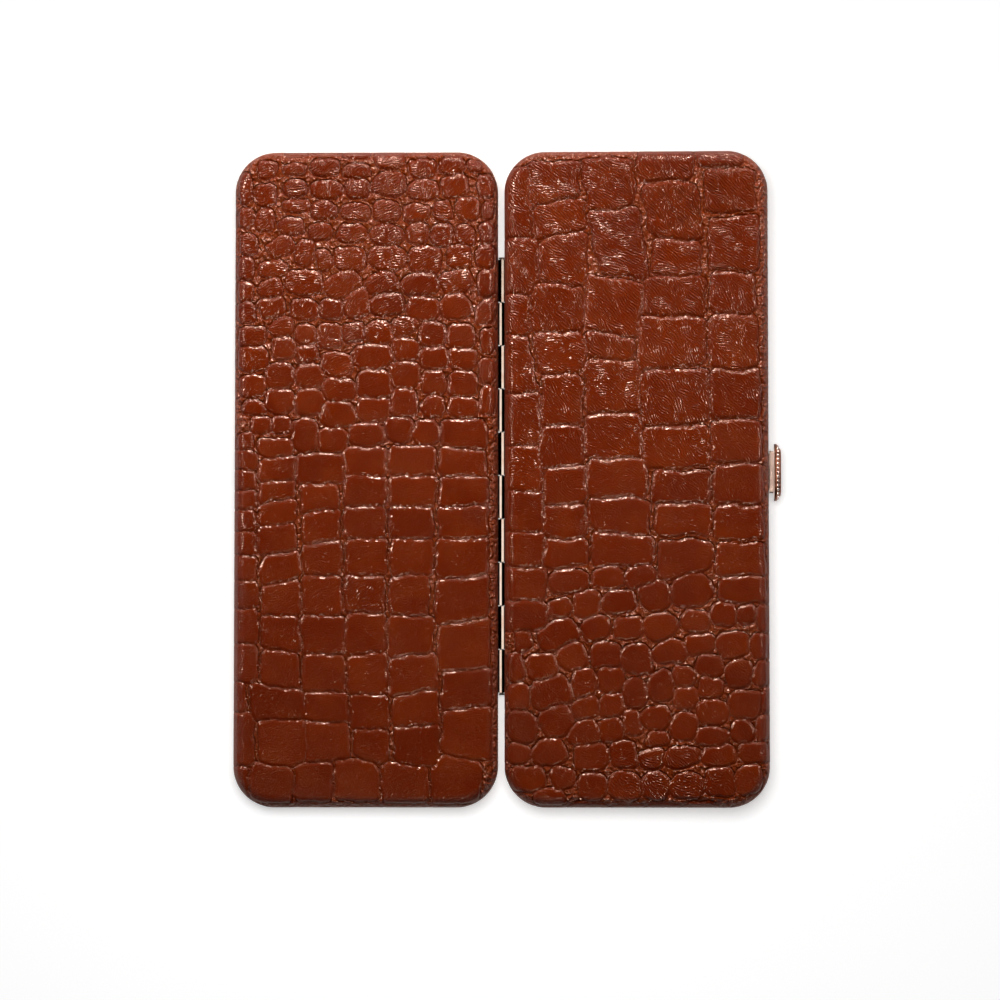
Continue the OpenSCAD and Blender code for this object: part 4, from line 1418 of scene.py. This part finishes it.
@dataclass(frozen=True)
class SlipPocket:
    """The slip pocket in the right half: a leather panel with a turned and stitched hem.

    Attributes:
        inset: Distance in from the outline of the half.
        mouth: Place of its open edge along the case.
        back: Height of its glued face above the rim plane.
        sheet: Thickness of the leather.
        hem: Width of the turned hem.
        hem_sheet: Extra thickness of the hem.
        swell: Height that the panel stands off in its middle.
        stitch_pitch: Distance between stitches.
        stitch_inset: Distance of the stitches in from the panel's edge.
        hem_inset: Distance of the hem's stitches from its inner edge.
        turned: Width of the rounded edges.
    """

    inset: float = 2.89
    mouth: float = 14.89
    back: float = 6.41
    sheet: float = 0.6
    hem: float = 4.0
    hem_sheet: float = 0.5
    swell: float = 0.35
    stitch_pitch: float = 2.6
    stitch_inset: float = 1.6
    hem_inset: float = 0.7
    turned: float = 0.18

    @property
    def foot(self) -> float:
        """Place of its closed end along the case."""
        return self.inset - CASE_LENGTH / 2

    def half_width(self, y: float) -> float:
        """Gives half its width at a place along the case."""
        radius = CORNER_RADIUS - self.inset
        past = max(0.0, self.foot + radius - y)
        return CORE_X + math.sqrt(max(0.0, radius**2 - past**2))

    def height(self, share: float, y: float) -> float:
        """Gives the height of the panel's glued face, which stands off towards the mouth.

        Args:
            share: Place across the panel, from -1 to 1.
            y: Place along the case.

        Returns:
            The height above the rim plane.
        """
        along = (y - self.foot) / (self.mouth - self.foot)
        return self.back - self.swell * (1 - share**4) * math.sin(math.pi / 2 * min(1.0, 1.2 * along)) ** 2

    def build(self) -> None:
        """Builds the panel and its stitching."""
        hem_slope = 0.6
        form = bmesh.new()
        bmesh.ops.create_grid(form, x_segments=36, y_segments=72, size=1.0)
        for vert in form.verts:
            share = vert.co.x
            y = self.foot + (self.mouth - self.foot) * (vert.co.y + 1) / 2
            vert.co = Vector((MIDDLE_X + share * self.half_width(y), y, self.height(share, y)))
        made = bmesh.ops.solidify(form, geom=form.faces[:], thickness=self.sheet)
        hem_start = self.mouth - self.hem
        for vert in of_kind(made["geom"], bmesh.types.BMVert):
            fold = max(0.0, min(1.0, (vert.co.y - hem_start + hem_slope) / hem_slope))
            vert.co.z -= self.hem_sheet * fold
        bmesh.ops.recalc_face_normals(form, faces=form.faces)
        panel = new_piece("pocket_leather_panel", form, Side.RIGHT.place)
        break_edges(panel, "turned_edges", self.turned, segments=3, bend=40)
        hand_over(panel, POCKET_LEATHER, Side.RIGHT.body, ["pocket_panel"])
        sew("pocket_stitching", self.stitches(), Side.RIGHT)

    def stitches(self) -> list[tuple[Vector, Vector]]:
        """Gives the stitches round the panel and along its hem.

        Returns:
            Middle and direction of each stitch.
        """
        inner = SlipPocket(inset=self.inset + self.stitch_inset)
        left = []
        steps = 400
        for i in range(steps + 1):
            y = inner.foot + (self.mouth - 1.0 - inner.foot) * (1 - i / steps)
            left.append(Vector((MIDDLE_X - inner.half_width(y), y, 0)))
        right = [Vector((2 * MIDDLE_X - point.x, point.y, 0)) for point in reversed(left)]
        y = self.mouth - self.hem + self.hem_inset
        half_row = self.half_width(y) - 2
        rows = [left + right, [Vector((MIDDLE_X + x, y, 0)) for x in (-half_row, half_row)]]
        placed = []
        for row in rows:
            rest = 0.0
            for start, end in zip(row, row[1:]):
                leg = end - start
                while rest < leg.length:
                    spot = start + leg * (rest / max(leg.length, 1e-6))
                    share = (spot.x - MIDDLE_X) / self.half_width(spot.y)
                    spot.z = self.height(share, spot.y) - self.sheet
                    if spot.y > self.mouth - self.hem - 0.1:
                        spot.z -= self.hem_sheet
                    placed.append((spot, leg.normalized()))
                    rest += self.stitch_pitch
                rest -= leg.length
        return placed


@dataclass(frozen=True)
class ToolBoard:
    """The suede covered board in the left half.

    Attributes:
        form: Its shape. It is folded as a shallow tray and then turned over.
        pitch: Distance between neighbouring points of its face.
    """

    form: TrayForm = TrayForm(inset=3.59, bottom=5.41, top=6.41, rounding=0.45)
    pitch: float = 1.4

    def build(self) -> bpy.types.Object:
        """Folds the suede over the board's face and closes its back.

        Returns:
            The finished piece.
        """
        form = self.form.folded(self.pitch)
        for vert in form.verts:
            vert.co.z = self.form.top + self.form.bottom - vert.co.z
        close_end(form, (edge for edge in form.edges if edge.is_boundary))
        piece = new_piece("suede_tool_board", form, Side.LEFT.place)
        return hand_over(piece, LINING_SUEDE, Side.LEFT.body, ["tool_board"])


@dataclass(frozen=True)
class ElasticBand:
    """One elastic band across the tool board: five loops, sewn down between them.

    Attributes:
        name: The CAD node that it stands for.
        y: Its middle along the case.
        width: Its width.
        sheet: Its thickness.
        start: Place of its first loop across the half.
        loops: Number of loops.
        pitch: Distance between the loops.
        chord: Width of a loop.
        height: Height of a loop.
        land: Width of the flat end beside the first and the last loop.
        under: Height of the board's face above the rim plane.
        ribs: Number of ribs across its width.
        rib: Height of a rib.
        tack_pitch: Distance between the stitches of a bar tack.
    """

    name: str
    y: float
    width: float = 9.0
    sheet: float = 0.6
    start: float = 8.44
    loops: int = 5
    pitch: float = 9.824
    chord: float = 8.224
    height: float = 2.2
    land: float = 1.6
    under: float = 5.41
    ribs: int = 8
    rib: float = 0.06
    tack_pitch: float = 1.8

    def path(self, share: float) -> tuple[float, float]:
        """Gives a point of the band's middle line.

        Args:
            share: Place along the band, from 0 to 1.

        Returns:
            The place across the half, and the height above the board's face.
        """
        radius = ((self.chord / 2) ** 2 + self.height**2) / (2 * self.height)
        run = self.loops * self.pitch + 2 * self.land
        x = share * run - self.land
        across = (x % self.pitch) - self.pitch / 2
        low = self.sheet / 2
        sharpness = 6
        if 0 < x < self.loops * self.pitch and abs(across) < self.chord / 2:
            bow = self.height - radius + math.sqrt(radius**2 - across**2) - low
            # Blends the foot of a loop into the stretch that is sewn down
            low = math.log(math.exp(sharpness * low) + math.exp(sharpness * bow)) / sharpness
        return self.start + x, low

    def build(self) -> None:
        """Builds the band and the bar tacks between its loops."""
        form = bmesh.new()
        long_steps = 220
        cross_steps = 48
        bmesh.ops.create_grid(form, x_segments=long_steps, y_segments=cross_steps, size=1.0)
        flat = form.loops.layers.uv.new("webbing")
        for corner in (corner for face in form.faces for corner in face.loops):
            place = corner.vert.co
            corner[flat].uv = (place.x * self.loops * self.pitch / 2, place.y * self.width / 2)
        # The ribs stand off the core of the webbing on both sides
        core = self.sheet - 2 * self.rib
        for vert in form.verts:
            x, lift = self.path((vert.co.x + 1) / 2)
            rib = self.rib * math.cos(math.pi * self.ribs * (vert.co.y + 1))
            vert.co = Vector((x, self.y + vert.co.y * self.width / 2, self.under - lift - core / 2 - rib))
        bmesh.ops.reverse_faces(form, faces=form.faces)
        piece = new_piece(f"{self.name}_webbing", form, Side.LEFT.place)
        thicken(piece, core)
        hand_over(piece, ELASTIC, Side.LEFT.body, [self.name])
        sew(f"{self.name}_bar_tacks", self.tacks(), Side.LEFT)

    def tacks(self) -> list[tuple[Vector, Vector]]:
        """Gives the stitches that hold the band down between its loops.

        Returns:
            Middle and direction of each stitch.
        """
        rows = [-self.land / 2] + [i * self.pitch for i in range(1, self.loops)]
        rows.append(self.loops * self.pitch + self.land / 2)
        down = self.under - self.sheet - self.rib
        return [
            (Vector((self.start + x, self.y + step * self.tack_pitch, down)), Vector((0, 1, 0)))
            for x in rows
            for step in (-2, -1, 0, 1, 2)
        ]


@dataclass(frozen=True)
class MetalDress:
    """Metal pieces whose solids keep their shape: edges broken, and smooth where they are round.

    Attributes:
        node: The CAD node.
        finish: Its finish.
        slot: The record's material slot. Not used.
        body: The CAD body that it rides on.
        edge: Width of the broken edges.
        relief: Depth filed off the ears' inner corners, which clears the lever's shelf as it tips.
        past_pin: Distance from the clasp's pin, inwards and up, where those corners start.
    """

    node: str
    finish: Finish
    slot: str
    body: str
    edge: float = 0.06
    relief: float = 0.0
    past_pin: float = 0.5

    def build(self) -> bpy.types.Object:
        """Copies the solid, joins its loose triangles and breaks its edges.

        Returns:
            The finished piece.
        """
        form = bmesh.new()
        form.from_mesh(frame["nodes"][self.node].data)
        bmesh.ops.remove_doubles(form, verts=form.verts, dist=0.0005 * MM)
        bmesh.ops.dissolve_limit(
            form,
            angle_limit=math.radians(0.6),
            verts=form.verts,
            edges=form.edges,
            delimit={"NORMAL"},
        )
        if self.relief:
            self.file_corners(form)
        piece = new_piece(f"{self.node}_dressed", form, Matrix.Identity(4))
        break_edges(piece, "broken_edges", self.edge, segments=2, bend=38)
        flats = piece.modifiers.new("flat_faces_stay_flat", "WEIGHTED_NORMAL")
        flats.keep_sharp = True
        return hand_over(piece, self.finish, self.body, [self.node])

    def file_corners(self, form: bmesh.types.BMesh) -> None:
        """Lowers the ears' inner corners.

        Args:
            form: The bracket, in the row frame.
        """
        pin = next(joint for joint in frame["joints"] if joint["name"] == "clasp_hinge")["pos_m"]
        for vert in form.verts:
            if vert.co.x < pin[0] - self.past_pin * MM and vert.co.z > pin[2] + self.past_pin * MM:
                vert.co.z -= self.relief * MM


@dataclass(frozen=True)
class TorsionSpring:
    """The clasp's spring: one wire wound round the pin, with a straight leg at each end.

    Attributes:
        out: Distance of the clasp pin from the side of the case.
        height: Height of the pin above the rim plane.
        radius: Mean radius of the coils.
        wire: Radius of the wire.
        turns: Number of turns.
        pitch: Distance between turns.
        leg: Length of a leg.
    """

    out: float = 0.75
    height: float = 2.3
    radius: float = 0.55
    wire: float = 0.12
    turns: float = 4.5
    pitch: float = 0.7
    leg: float = 0.6

    def build(self) -> bpy.types.Object:
        """Winds the wire with a screw spin and pulls out its legs.

        Returns:
            The finished piece.
        """
        form = bmesh.new()
        steps_a_turn = 28
        steps = int(self.turns * steps_a_turn)
        middle = Vector((OUTER_X + self.out, CLASP_Y - self.turns * self.pitch / 2, self.height))
        start = middle + Vector((-self.radius, 0, 0))
        ring = bmesh.ops.create_circle(
            form, segments=10, radius=self.wire, matrix=Matrix.Translation(start)
        )["verts"]
        edges = list({edge for vert in ring for edge in vert.link_edges})
        last = bmesh.ops.spin(
            form,
            geom=ring + edges,
            cent=middle,
            axis=Vector((0, -1, 0)),
            dvec=Vector((0, self.turns * self.pitch / steps, 0)),
            angle=2 * math.pi * self.turns,
            steps=steps,
        )["geom_last"]
        for rim in (edges, of_kind(last, bmesh.types.BMEdge)):
            made = bmesh.ops.extrude_edge_only(form, edges=rim)["geom"]
            tip = of_kind(made, bmesh.types.BMVert)
            bmesh.ops.translate(form, verts=tip, vec=Vector((0, 0, self.leg)))
            close_end(form, (edge for edge in of_kind(made, bmesh.types.BMEdge) if edge.is_boundary))
        piece = new_piece("clasp_spring_wire", form, Side.RIGHT.place)
        return hand_over(piece, SPRING_STEEL, "right_half", ["clasp_spring"])


@dataclass(frozen=True)
class OrnamentalPlate:
    """The clasp's ornamental plate: a slot-shaped plate, a border of beads and a domed middle.

    Attributes:
        length: Its length along the case.
        height: Its height.
        middle_z: Height of its middle above the rim plane.
        back: Distance of its back from the side of the case.
        edge: Its thickness at the edge.
        rise: Height of the domed middle above the edge.
        bead: Distance of the beads' middles in from the outline.
        beads: Number of beads.
        bead_size: Half the length, the width and the height of a bead.
        bead_lift: Height of the beads' middles over the back, as a share of the edge.
        bead_turn: Turn of a bead from the border's direction, in radians.
        skirt: Depth of the skirt that folds round the lever.
        skirt_wall: Thickness of the skirt.
        border, slope, ledge: Widths of the rim, of the slope inside it and of the level ledge
            before the dome.
        dome: How far the dome reaches in before it is level.
    """

    length: float = 13.9
    height: float = 7.4
    middle_z: float = 0.3
    back: float = 1.9
    edge: float = 0.5
    rise: float = 0.78
    bead: float = 0.42
    beads: int = 32
    bead_size: tuple[float, float, float] = (0.44, 0.33, 0.46)
    bead_lift: float = 0.62
    bead_turn: float = 0.5
    skirt: float = 0.38
    skirt_wall: float = 0.07
    border: float = 0.3
    slope: float = 0.05
    ledge: float = 0.55
    dome: float = 0.8

    def slot_face(
        self, form: bmesh.types.BMesh, length: float, height: float, lift: float
    ) -> bmesh.types.BMFace:
        """Draws a slot-shaped face in the plate's plane.

        Args:
            form: The form to draw it in.
            length: Its length.
            height: Its height.
            lift: Its distance in front of the plate's back.

        Returns:
            The face. Its X is along the case, its Y is up and its Z is out.
        """
        verts = bmesh.ops.create_circle(form, cap_ends=True, segments=64, radius=height / 2)["verts"]
        for vert in verts:
            vert.co.x += math.copysign((length - height) / 2, vert.co.x)
            vert.co.z = lift
        return verts[0].link_faces[0]

    def build(self) -> list[bpy.types.Object]:
        """Builds the plate with its domed middle, and its beads.

        Returns:
            The plate and the beads, which are polished.
        """
        form = bmesh.new()
        length = self.length + 2 * self.skirt_wall
        height = self.height - self.skirt_wall / 2
        back = self.slot_face(form, length, height, -self.skirt)
        made = bmesh.ops.extrude_face_region(form, geom=[back])["geom"]
        top = of_kind(made, bmesh.types.BMVert)
        bmesh.ops.translate(form, verts=top, vec=Vector((0, 0, self.skirt + self.edge / 2)))
        front = of_kind(made, bmesh.types.BMFace)[0]
        steps = 6
        turns = [math.pi / 2 * i / steps for i in range(steps + 1)]
        # The skirt folds round the lever's front, so its back is hollow up to the plate
        insets = [
            (back, self.skirt_wall, 0.0),
            (back, 0.0, -self.skirt),
            (front, self.border, 0.0),
            (front, self.slope, self.edge / 2),
            (front, self.ledge, 0.0),
        ] + [
            (front, self.dome * (math.cos(a) - math.cos(b)), self.rise * (math.sin(b) - math.sin(a)))
            for a, b in zip(turns, turns[1:])
        ]
        for face, inward, up in insets:
            bmesh.ops.inset_region(form, faces=[face], thickness=inward, depth=up)
        form.normal_update()
        beads = bmesh.new()
        for number in range(self.beads):
            x, y, turn = self.bead_place(number / self.beads)
            turned = Matrix.Rotation(turn + self.bead_turn, 4, "Z") @ Matrix.Diagonal((*self.bead_size, 1))
            place = Matrix.Translation((x, y, self.bead_lift * self.edge)) @ turned
            bmesh.ops.create_uvsphere(beads, u_segments=12, v_segments=8, radius=1.0, matrix=place)
        # The plate is drawn lying down. This stands it up beside the case
        rows = ((0, 0, 1, OUTER_X + self.back), (1, 0, 0, CLASP_Y), (0, 1, 0, self.middle_z), (0, 0, 0, 1))
        stand = Matrix(rows)
        for part in (form, beads):
            bmesh.ops.transform(part, matrix=stand, verts=part.verts)
        plate = new_piece("ornamental_clasp_plate", form, Side.RIGHT.place)
        hand_over(plate, ORNAMENT_METAL, "clasp", ["clasp_plate"])
        chain = new_piece("clasp_plate_beads", beads, Side.RIGHT.place)
        return [plate, hand_over(chain, BEAD_METAL, "clasp")]

    def bead_place(self, share: float) -> tuple[float, float, float]:
        """Gives a place on the border.

        Args:
            share: Distance round the border, from 0 to 1.

        Returns:
            Its place along and up the plate, and the direction of the border there.
        """
        radius = self.height / 2 - self.bead
        straight = self.length - self.height
        bend = math.pi * radius
        along = share * 2 * (straight + bend)
        side = 1.0
        if along >= straight + bend:
            along -= straight + bend
            side = -1.0
        if along < straight:
            return side * (along - straight / 2), side * radius, 0.0
        turn = math.pi / 2 - (along - straight) / radius
        x = side * (straight / 2 + radius * math.cos(turn))
        return x, side * radius * math.sin(turn), turn - math.pi / 2


@dataclass(frozen=True)
class SoftBox:
    """A soft box that hangs over the case.

    Attributes:
        name: The lamp's name.
        place: Its place in millimetres in the row frame.
        size: Its width and height in metres.
        power: Its power in watts.
        lights: The group of pieces that it lights.
        casts: The group of pieces that cast shadows in its light, if not everything.
        aim: The place that it faces, in millimetres.
        spread: Angle of its beam in degrees, as a grid before it gives.
    """

    name: str
    place: tuple[float, float, float]
    size: tuple[float, float]
    power: float
    lights: str
    casts: Optional[str] = None
    aim: tuple[float, float, float] = (0.0, 0.0, 0.0)
    spread: float = 180.0

    def hang(self, groups: dict[str, bpy.types.Collection]) -> None:
        """Hangs the lamp.

        Args:
            groups: The groups of pieces, by name.
        """
        data = bpy.data.lights.new(self.name, "AREA")
        data.shape = "RECTANGLE"
        data.size, data.size_y = self.size
        data.energy = self.power
        data.spread = math.radians(self.spread)
        box = bpy.data.objects.new(self.name, data)
        box.location = Vector(self.place) * MM
        box.rotation_euler = (Vector(self.aim) * MM - box.location).to_track_quat("-Z", "Y").to_euler()
        bpy.context.scene.collection.objects.link(box)
        box.light_linking.receiver_collection = groups[self.lights]
        if self.casts:
            box.light_linking.blocker_collection = groups[self.casts]


# The far lamps give the leather its rim lights. Cards overhead are what each metal mirrors
SOFT_BOXES = (
    SoftBox("key", (-40, 400, 265), (0.1, 0.07), 1.9, "all_but_table_and_hinge"),
    SoftBox("strip", (-40, 400, 265), (0.6, 0.05), 1.1, "all_but_table_and_hinge"),
    SoftBox("left_fill", (-400, 150, 430), (0.08, 0.06), 0.9, "all_but_table_and_hinge"),
    SoftBox("right_fill", (400, 150, 430), (0.08, 0.06), 0.7, "all_but_table_and_hinge"),
    SoftBox(
        "front_fill",
        (30, -330, 460),
        (0.08, 0.05),
        0.012,
        "all_but_table_and_hinge",
        aim=(0, 65, 10),
        spread=26,
    ),
    SoftBox("table_lamp", (-20, 45, 600), (0.3, 0.3), 3.2, "table_alone"),
    SoftBox("metal_card", (0, 40, 1000), (0.5, 0.5), 1.05, "clasp_and_frames"),
    SoftBox("plate_card", (0, 40, 1000), (0.5, 0.5), 7.0, "clasp_plate_alone"),
    SoftBox("hinge_card", (0, 40, 1000), (0.3, 0.3), 0.31, "hinge_alone"),
    SoftBox("under_lamp", (0, 0, -600), (0.4, 0.4), 0.6, "all_but_the_table", "all_but_the_table"),
)


@dataclass(frozen=True)
class Studio:
    """The white table, the lamps and the camera.

    Attributes:
        middle: The point under the camera, in millimetres in the row frame.
        leather_height: Height of the leather above the table.
        view_width: Width of the photograph's field at the leather.
        camera_distance: Distance of the camera from the leather.
        pitch: Tilt of the camera from straight down, in degrees.
        sensor: Width of the camera's sensor.
        ambient: Strength of the world's even light.
        wall_glow: Strength of the world near the horizon, as metal and leather mirror it.
        floor_glow: Strength that the table adds to its own light for the eye.
        mirrored_glow: Strength of the table as metal and leather mirror it.
    """

    middle: tuple[float, float] = (-2.1, -5.5)
    leather_height: float = 10.6
    view_width: float = 242.6
    camera_distance: float = 800.0
    pitch: float = 3.0
    sensor: float = 36.0
    ambient: float = 0.03
    wall_glow: float = 0.03
    floor_glow: float = 0.4
    mirrored_glow: float = 0.1

    def build(self, metals: Sequence[bpy.types.Object]) -> None:
        """Sets up the world, the table, the lamps and the camera.

        Args:
            metals: The metal pieces, which mirror a card of their own overhead.
        """
        self.set_camera()
        self.set_world()
        floor = self.lay_floor()
        hinge = [metal for metal in metals if "hinge" in metal.name]
        plate = [metal for metal in metals if "clasp_plate" in metal.name]
        others = [metal for metal in metals if metal not in hinge + plate]
        groups = {
            name: self.lit_group(name, pieces, state)
            for name, pieces, state in (
                ("all_but_the_table", [floor], "EXCLUDE"),
                ("all_but_table_and_hinge", [floor, *hinge], "EXCLUDE"),
                ("table_alone", [floor], "INCLUDE"),
                ("clasp_and_frames", others, "INCLUDE"),
                ("clasp_plate_alone", plate, "INCLUDE"),
                ("hinge_alone", hinge, "INCLUDE"),
            )
        }
        for box in SOFT_BOXES:
            box.hang(groups)
        bpy.context.scene.view_settings.view_transform = "Standard"

    def lit_group(
        self, name: str, pieces: Sequence[bpy.types.Object], state: str
    ) -> bpy.types.Collection:
        """Names the pieces that a lamp lights, or leaves unlit.

        Args:
            name: The group's name.
            pieces: The pieces.
            state: INCLUDE or EXCLUDE.

        Returns:
            The group.
        """
        group = bpy.data.collections.new(name)
        for piece in pieces:
            group.objects.link(piece)
        for entry in group.collection_objects:
            entry.light_linking.link_state = state
        return group

    def set_camera(self) -> None:
        """Places the camera above, with a long lens, a little towards the near side."""
        data = bpy.data.cameras.new("copy_stand_camera")
        data.sensor_width = self.sensor
        data.lens = self.sensor * self.camera_distance / self.view_width
        data.clip_end = 20.0
        camera = bpy.data.objects.new("copy_stand_camera", data)
        pitch = math.radians(self.pitch)
        middle = Vector((*self.middle, self.leather_height))
        back = Vector((0, -math.sin(pitch), math.cos(pitch))) * self.camera_distance
        camera.location = (middle + back) * MM
        camera.rotation_euler = (pitch, 0, 0)
        bpy.context.scene.collection.objects.link(camera)
        bpy.context.scene.camera = camera

    def set_world(self) -> None:
        """Lights the world faintly, white to the eye and near the horizon, dark overhead."""
        world = bpy.data.worlds.new("studio")
        tree = empty_tree(world)
        paths = add_node(tree, "LightPath").outputs
        direction = add_node(tree, "TexCoord").outputs["Generated"]
        up = add_node(tree, "SeparateXYZ", {0: direction}).outputs["Z"]
        wall = add_node(
            tree,
            "MapRange",
            {"Value": up, "From Min": 0.0, "From Max": 0.3, "To Min": self.wall_glow, "To Max": 0.0},
            interpolation_type="SMOOTHSTEP",
        )
        parts = {0: paths["Is Glossy Ray"], 2: self.ambient, 3: wall}
        mirrored = add_node(tree, "Mix", parts, data_type="FLOAT")
        rays = {0: paths["Is Camera Ray"], 1: paths["Is Transmission Ray"]}
        direct = add_node(tree, "Math", rays, operation="MAXIMUM")
        strength = add_node(tree, "Mix", {0: direct, 2: mirrored, 3: 1.0}, data_type="FLOAT")
        glow = add_node(tree, "Background", {"Color": (1, 1, 1, 1), "Strength": strength})
        add_node(tree, "OutputWorld", {"Surface": glow})
        bpy.context.scene.world = world

    def lay_floor(self) -> bpy.types.Object:
        """Lays the white table, which sinks with a half that swings below it and is clear from below.

        Returns:
            The table.
        """
        form = bmesh.new()
        bmesh.ops.create_grid(form, x_segments=1, y_segments=1, size=2500.0)
        floor = new_piece("white_table", form, Matrix.Scale(MM, 4), smooth=False)
        floor.data.materials.append(self.floor_material())
        marker = bpy.data.objects.new("left_half_outer_face", None)
        bpy.context.scene.collection.objects.link(marker)
        marker.parent = frame["bodies"]["left_half"]
        marker.location = Side.LEFT.place @ Vector((OUTER_X, 0, HALF_DEPTH))
        follow = floor.constraints.new("COPY_LOCATION")
        follow.target = marker
        follow.use_x = False
        follow.use_y = False
        stop = floor.constraints.new("LIMIT_LOCATION")
        stop.use_max_z = True
        stop.max_z = 0.0
        return floor

    def floor_material(self) -> bpy.types.Material:
        """Paints the table: matt white laminate that the eye and polished metal see as white."""
        material = bpy.data.materials.new("matt_white_laminate")
        tree = empty_tree(material)
        paths = add_node(tree, "LightPath").outputs
        share = {0: paths["Is Glossy Ray"], 1: self.mirrored_glow}
        mirrored = add_node(tree, "Math", share, operation="MULTIPLY")
        lit = {0: paths["Is Camera Ray"], 1: self.floor_glow, 2: mirrored}
        strength = add_node(tree, "Math", lit, operation="MULTIPLY_ADD")
        matt = add_node(tree, "BsdfDiffuse", {"Color": linear_colour("#E6E6E6")})
        glow = add_node(tree, "Emission", {"Color": (1, 1, 1, 1), "Strength": strength})
        both = add_node(tree, "AddShader", {0: matt, 1: glow})
        clear = add_node(tree, "BsdfTransparent")
        under = add_node(tree, "NewGeometry").outputs["Backfacing"]
        surface = add_node(tree, "MixShader", {0: under, 1: both, 2: clear})
        add_node(tree, "OutputMaterial", {"Surface": surface})
        return material


METAL_PIECES = (
    MetalDress("right_frame", FRAME_METAL, "plated_metal", "right_half", edge=0.05),
    MetalDress("left_frame", FRAME_METAL, "plated_metal", "left_half", edge=0.05),
    MetalDress("right_hinge_leaf", RIGHT_HINGE_METAL, "hinge_metal", "right_half", edge=0.12),
    MetalDress("left_hinge_leaf", LEFT_HINGE_METAL, "hinge_metal", "left_half", edge=0.12),
    MetalDress("right_hinge_rivets", RIGHT_HINGE_METAL, "hinge_metal", "right_half", edge=0.04),
    MetalDress("left_hinge_rivets", LEFT_HINGE_METAL, "hinge_metal", "left_half", edge=0.04),
    MetalDress("hinge_pin", PIN_STEEL, "pin_steel", "right_half"),
    MetalDress("clasp_bracket", CLASP_METAL, "clasp_metal", "right_half", relief=0.08),
    MetalDress("clasp_bracket_rivets", CLASP_METAL, "clasp_metal", "right_half", edge=0.04),
    MetalDress("clasp_pin", PIN_STEEL, "pin_steel", "right_half", edge=0.04),
    MetalDress("clasp_lever", CLASP_METAL, "clasp_metal", "clasp"),
    MetalDress("clasp_plate_rivets", CLASP_METAL, "clasp_metal", "clasp", edge=0.04),
    MetalDress("strike_plate", FRAME_METAL, "plated_metal", "left_half", edge=0.04),
)

RIGHT_EMBOSSING = Embossing(
    scales=RIGHT_PLATES + tuple(RoundScale(*sizes) for sizes in RIGHT_ROUND),
    coarse_at=((46, 12, 1.0, 17), (28, 6, 0.8, 14), (30, 15, 0.65, 60), (40, 155, 0.5, 12)),
    seed=11,
)
LEFT_EMBOSSING = Embossing(
    scales=LEFT_PLATES + tuple(RoundScale(*sizes) for sizes in LEFT_ROUND),
    coarse_at=((30, 110, 0.2, 30), (30, 10, 0.5, 45)),
    seed=23,
)


def main() -> None:
    """Dresses the case, piece by piece, and sets up the studio."""
    logging.basicConfig(level=logging.INFO, format="%(name)s %(message)s")
    LeatherCover(Side.RIGHT, RIGHT_EMBOSSING).build()
    LeatherCover(Side.LEFT, LEFT_EMBOSSING).build()
    metals = [metal.build() for metal in METAL_PIECES]
    for side in Side:
        shell = frame["nodes"][f"{side.value}_shell"]
        shell.data.materials.clear()
        shell.data.materials.append(SHELL_BOARD.material())
        Lining(side).build()
    SlipPocket().build()
    ToolBoard().build()
    ElasticBand("upper_elastic_band", 31.0).build()
    ElasticBand("lower_elastic_band", -31.0).build()
    metals.append(TorsionSpring().build())
    metals.extend(OrnamentalPlate().build())
    Studio().build(metals)


if __name__ == "__main__":
    main()
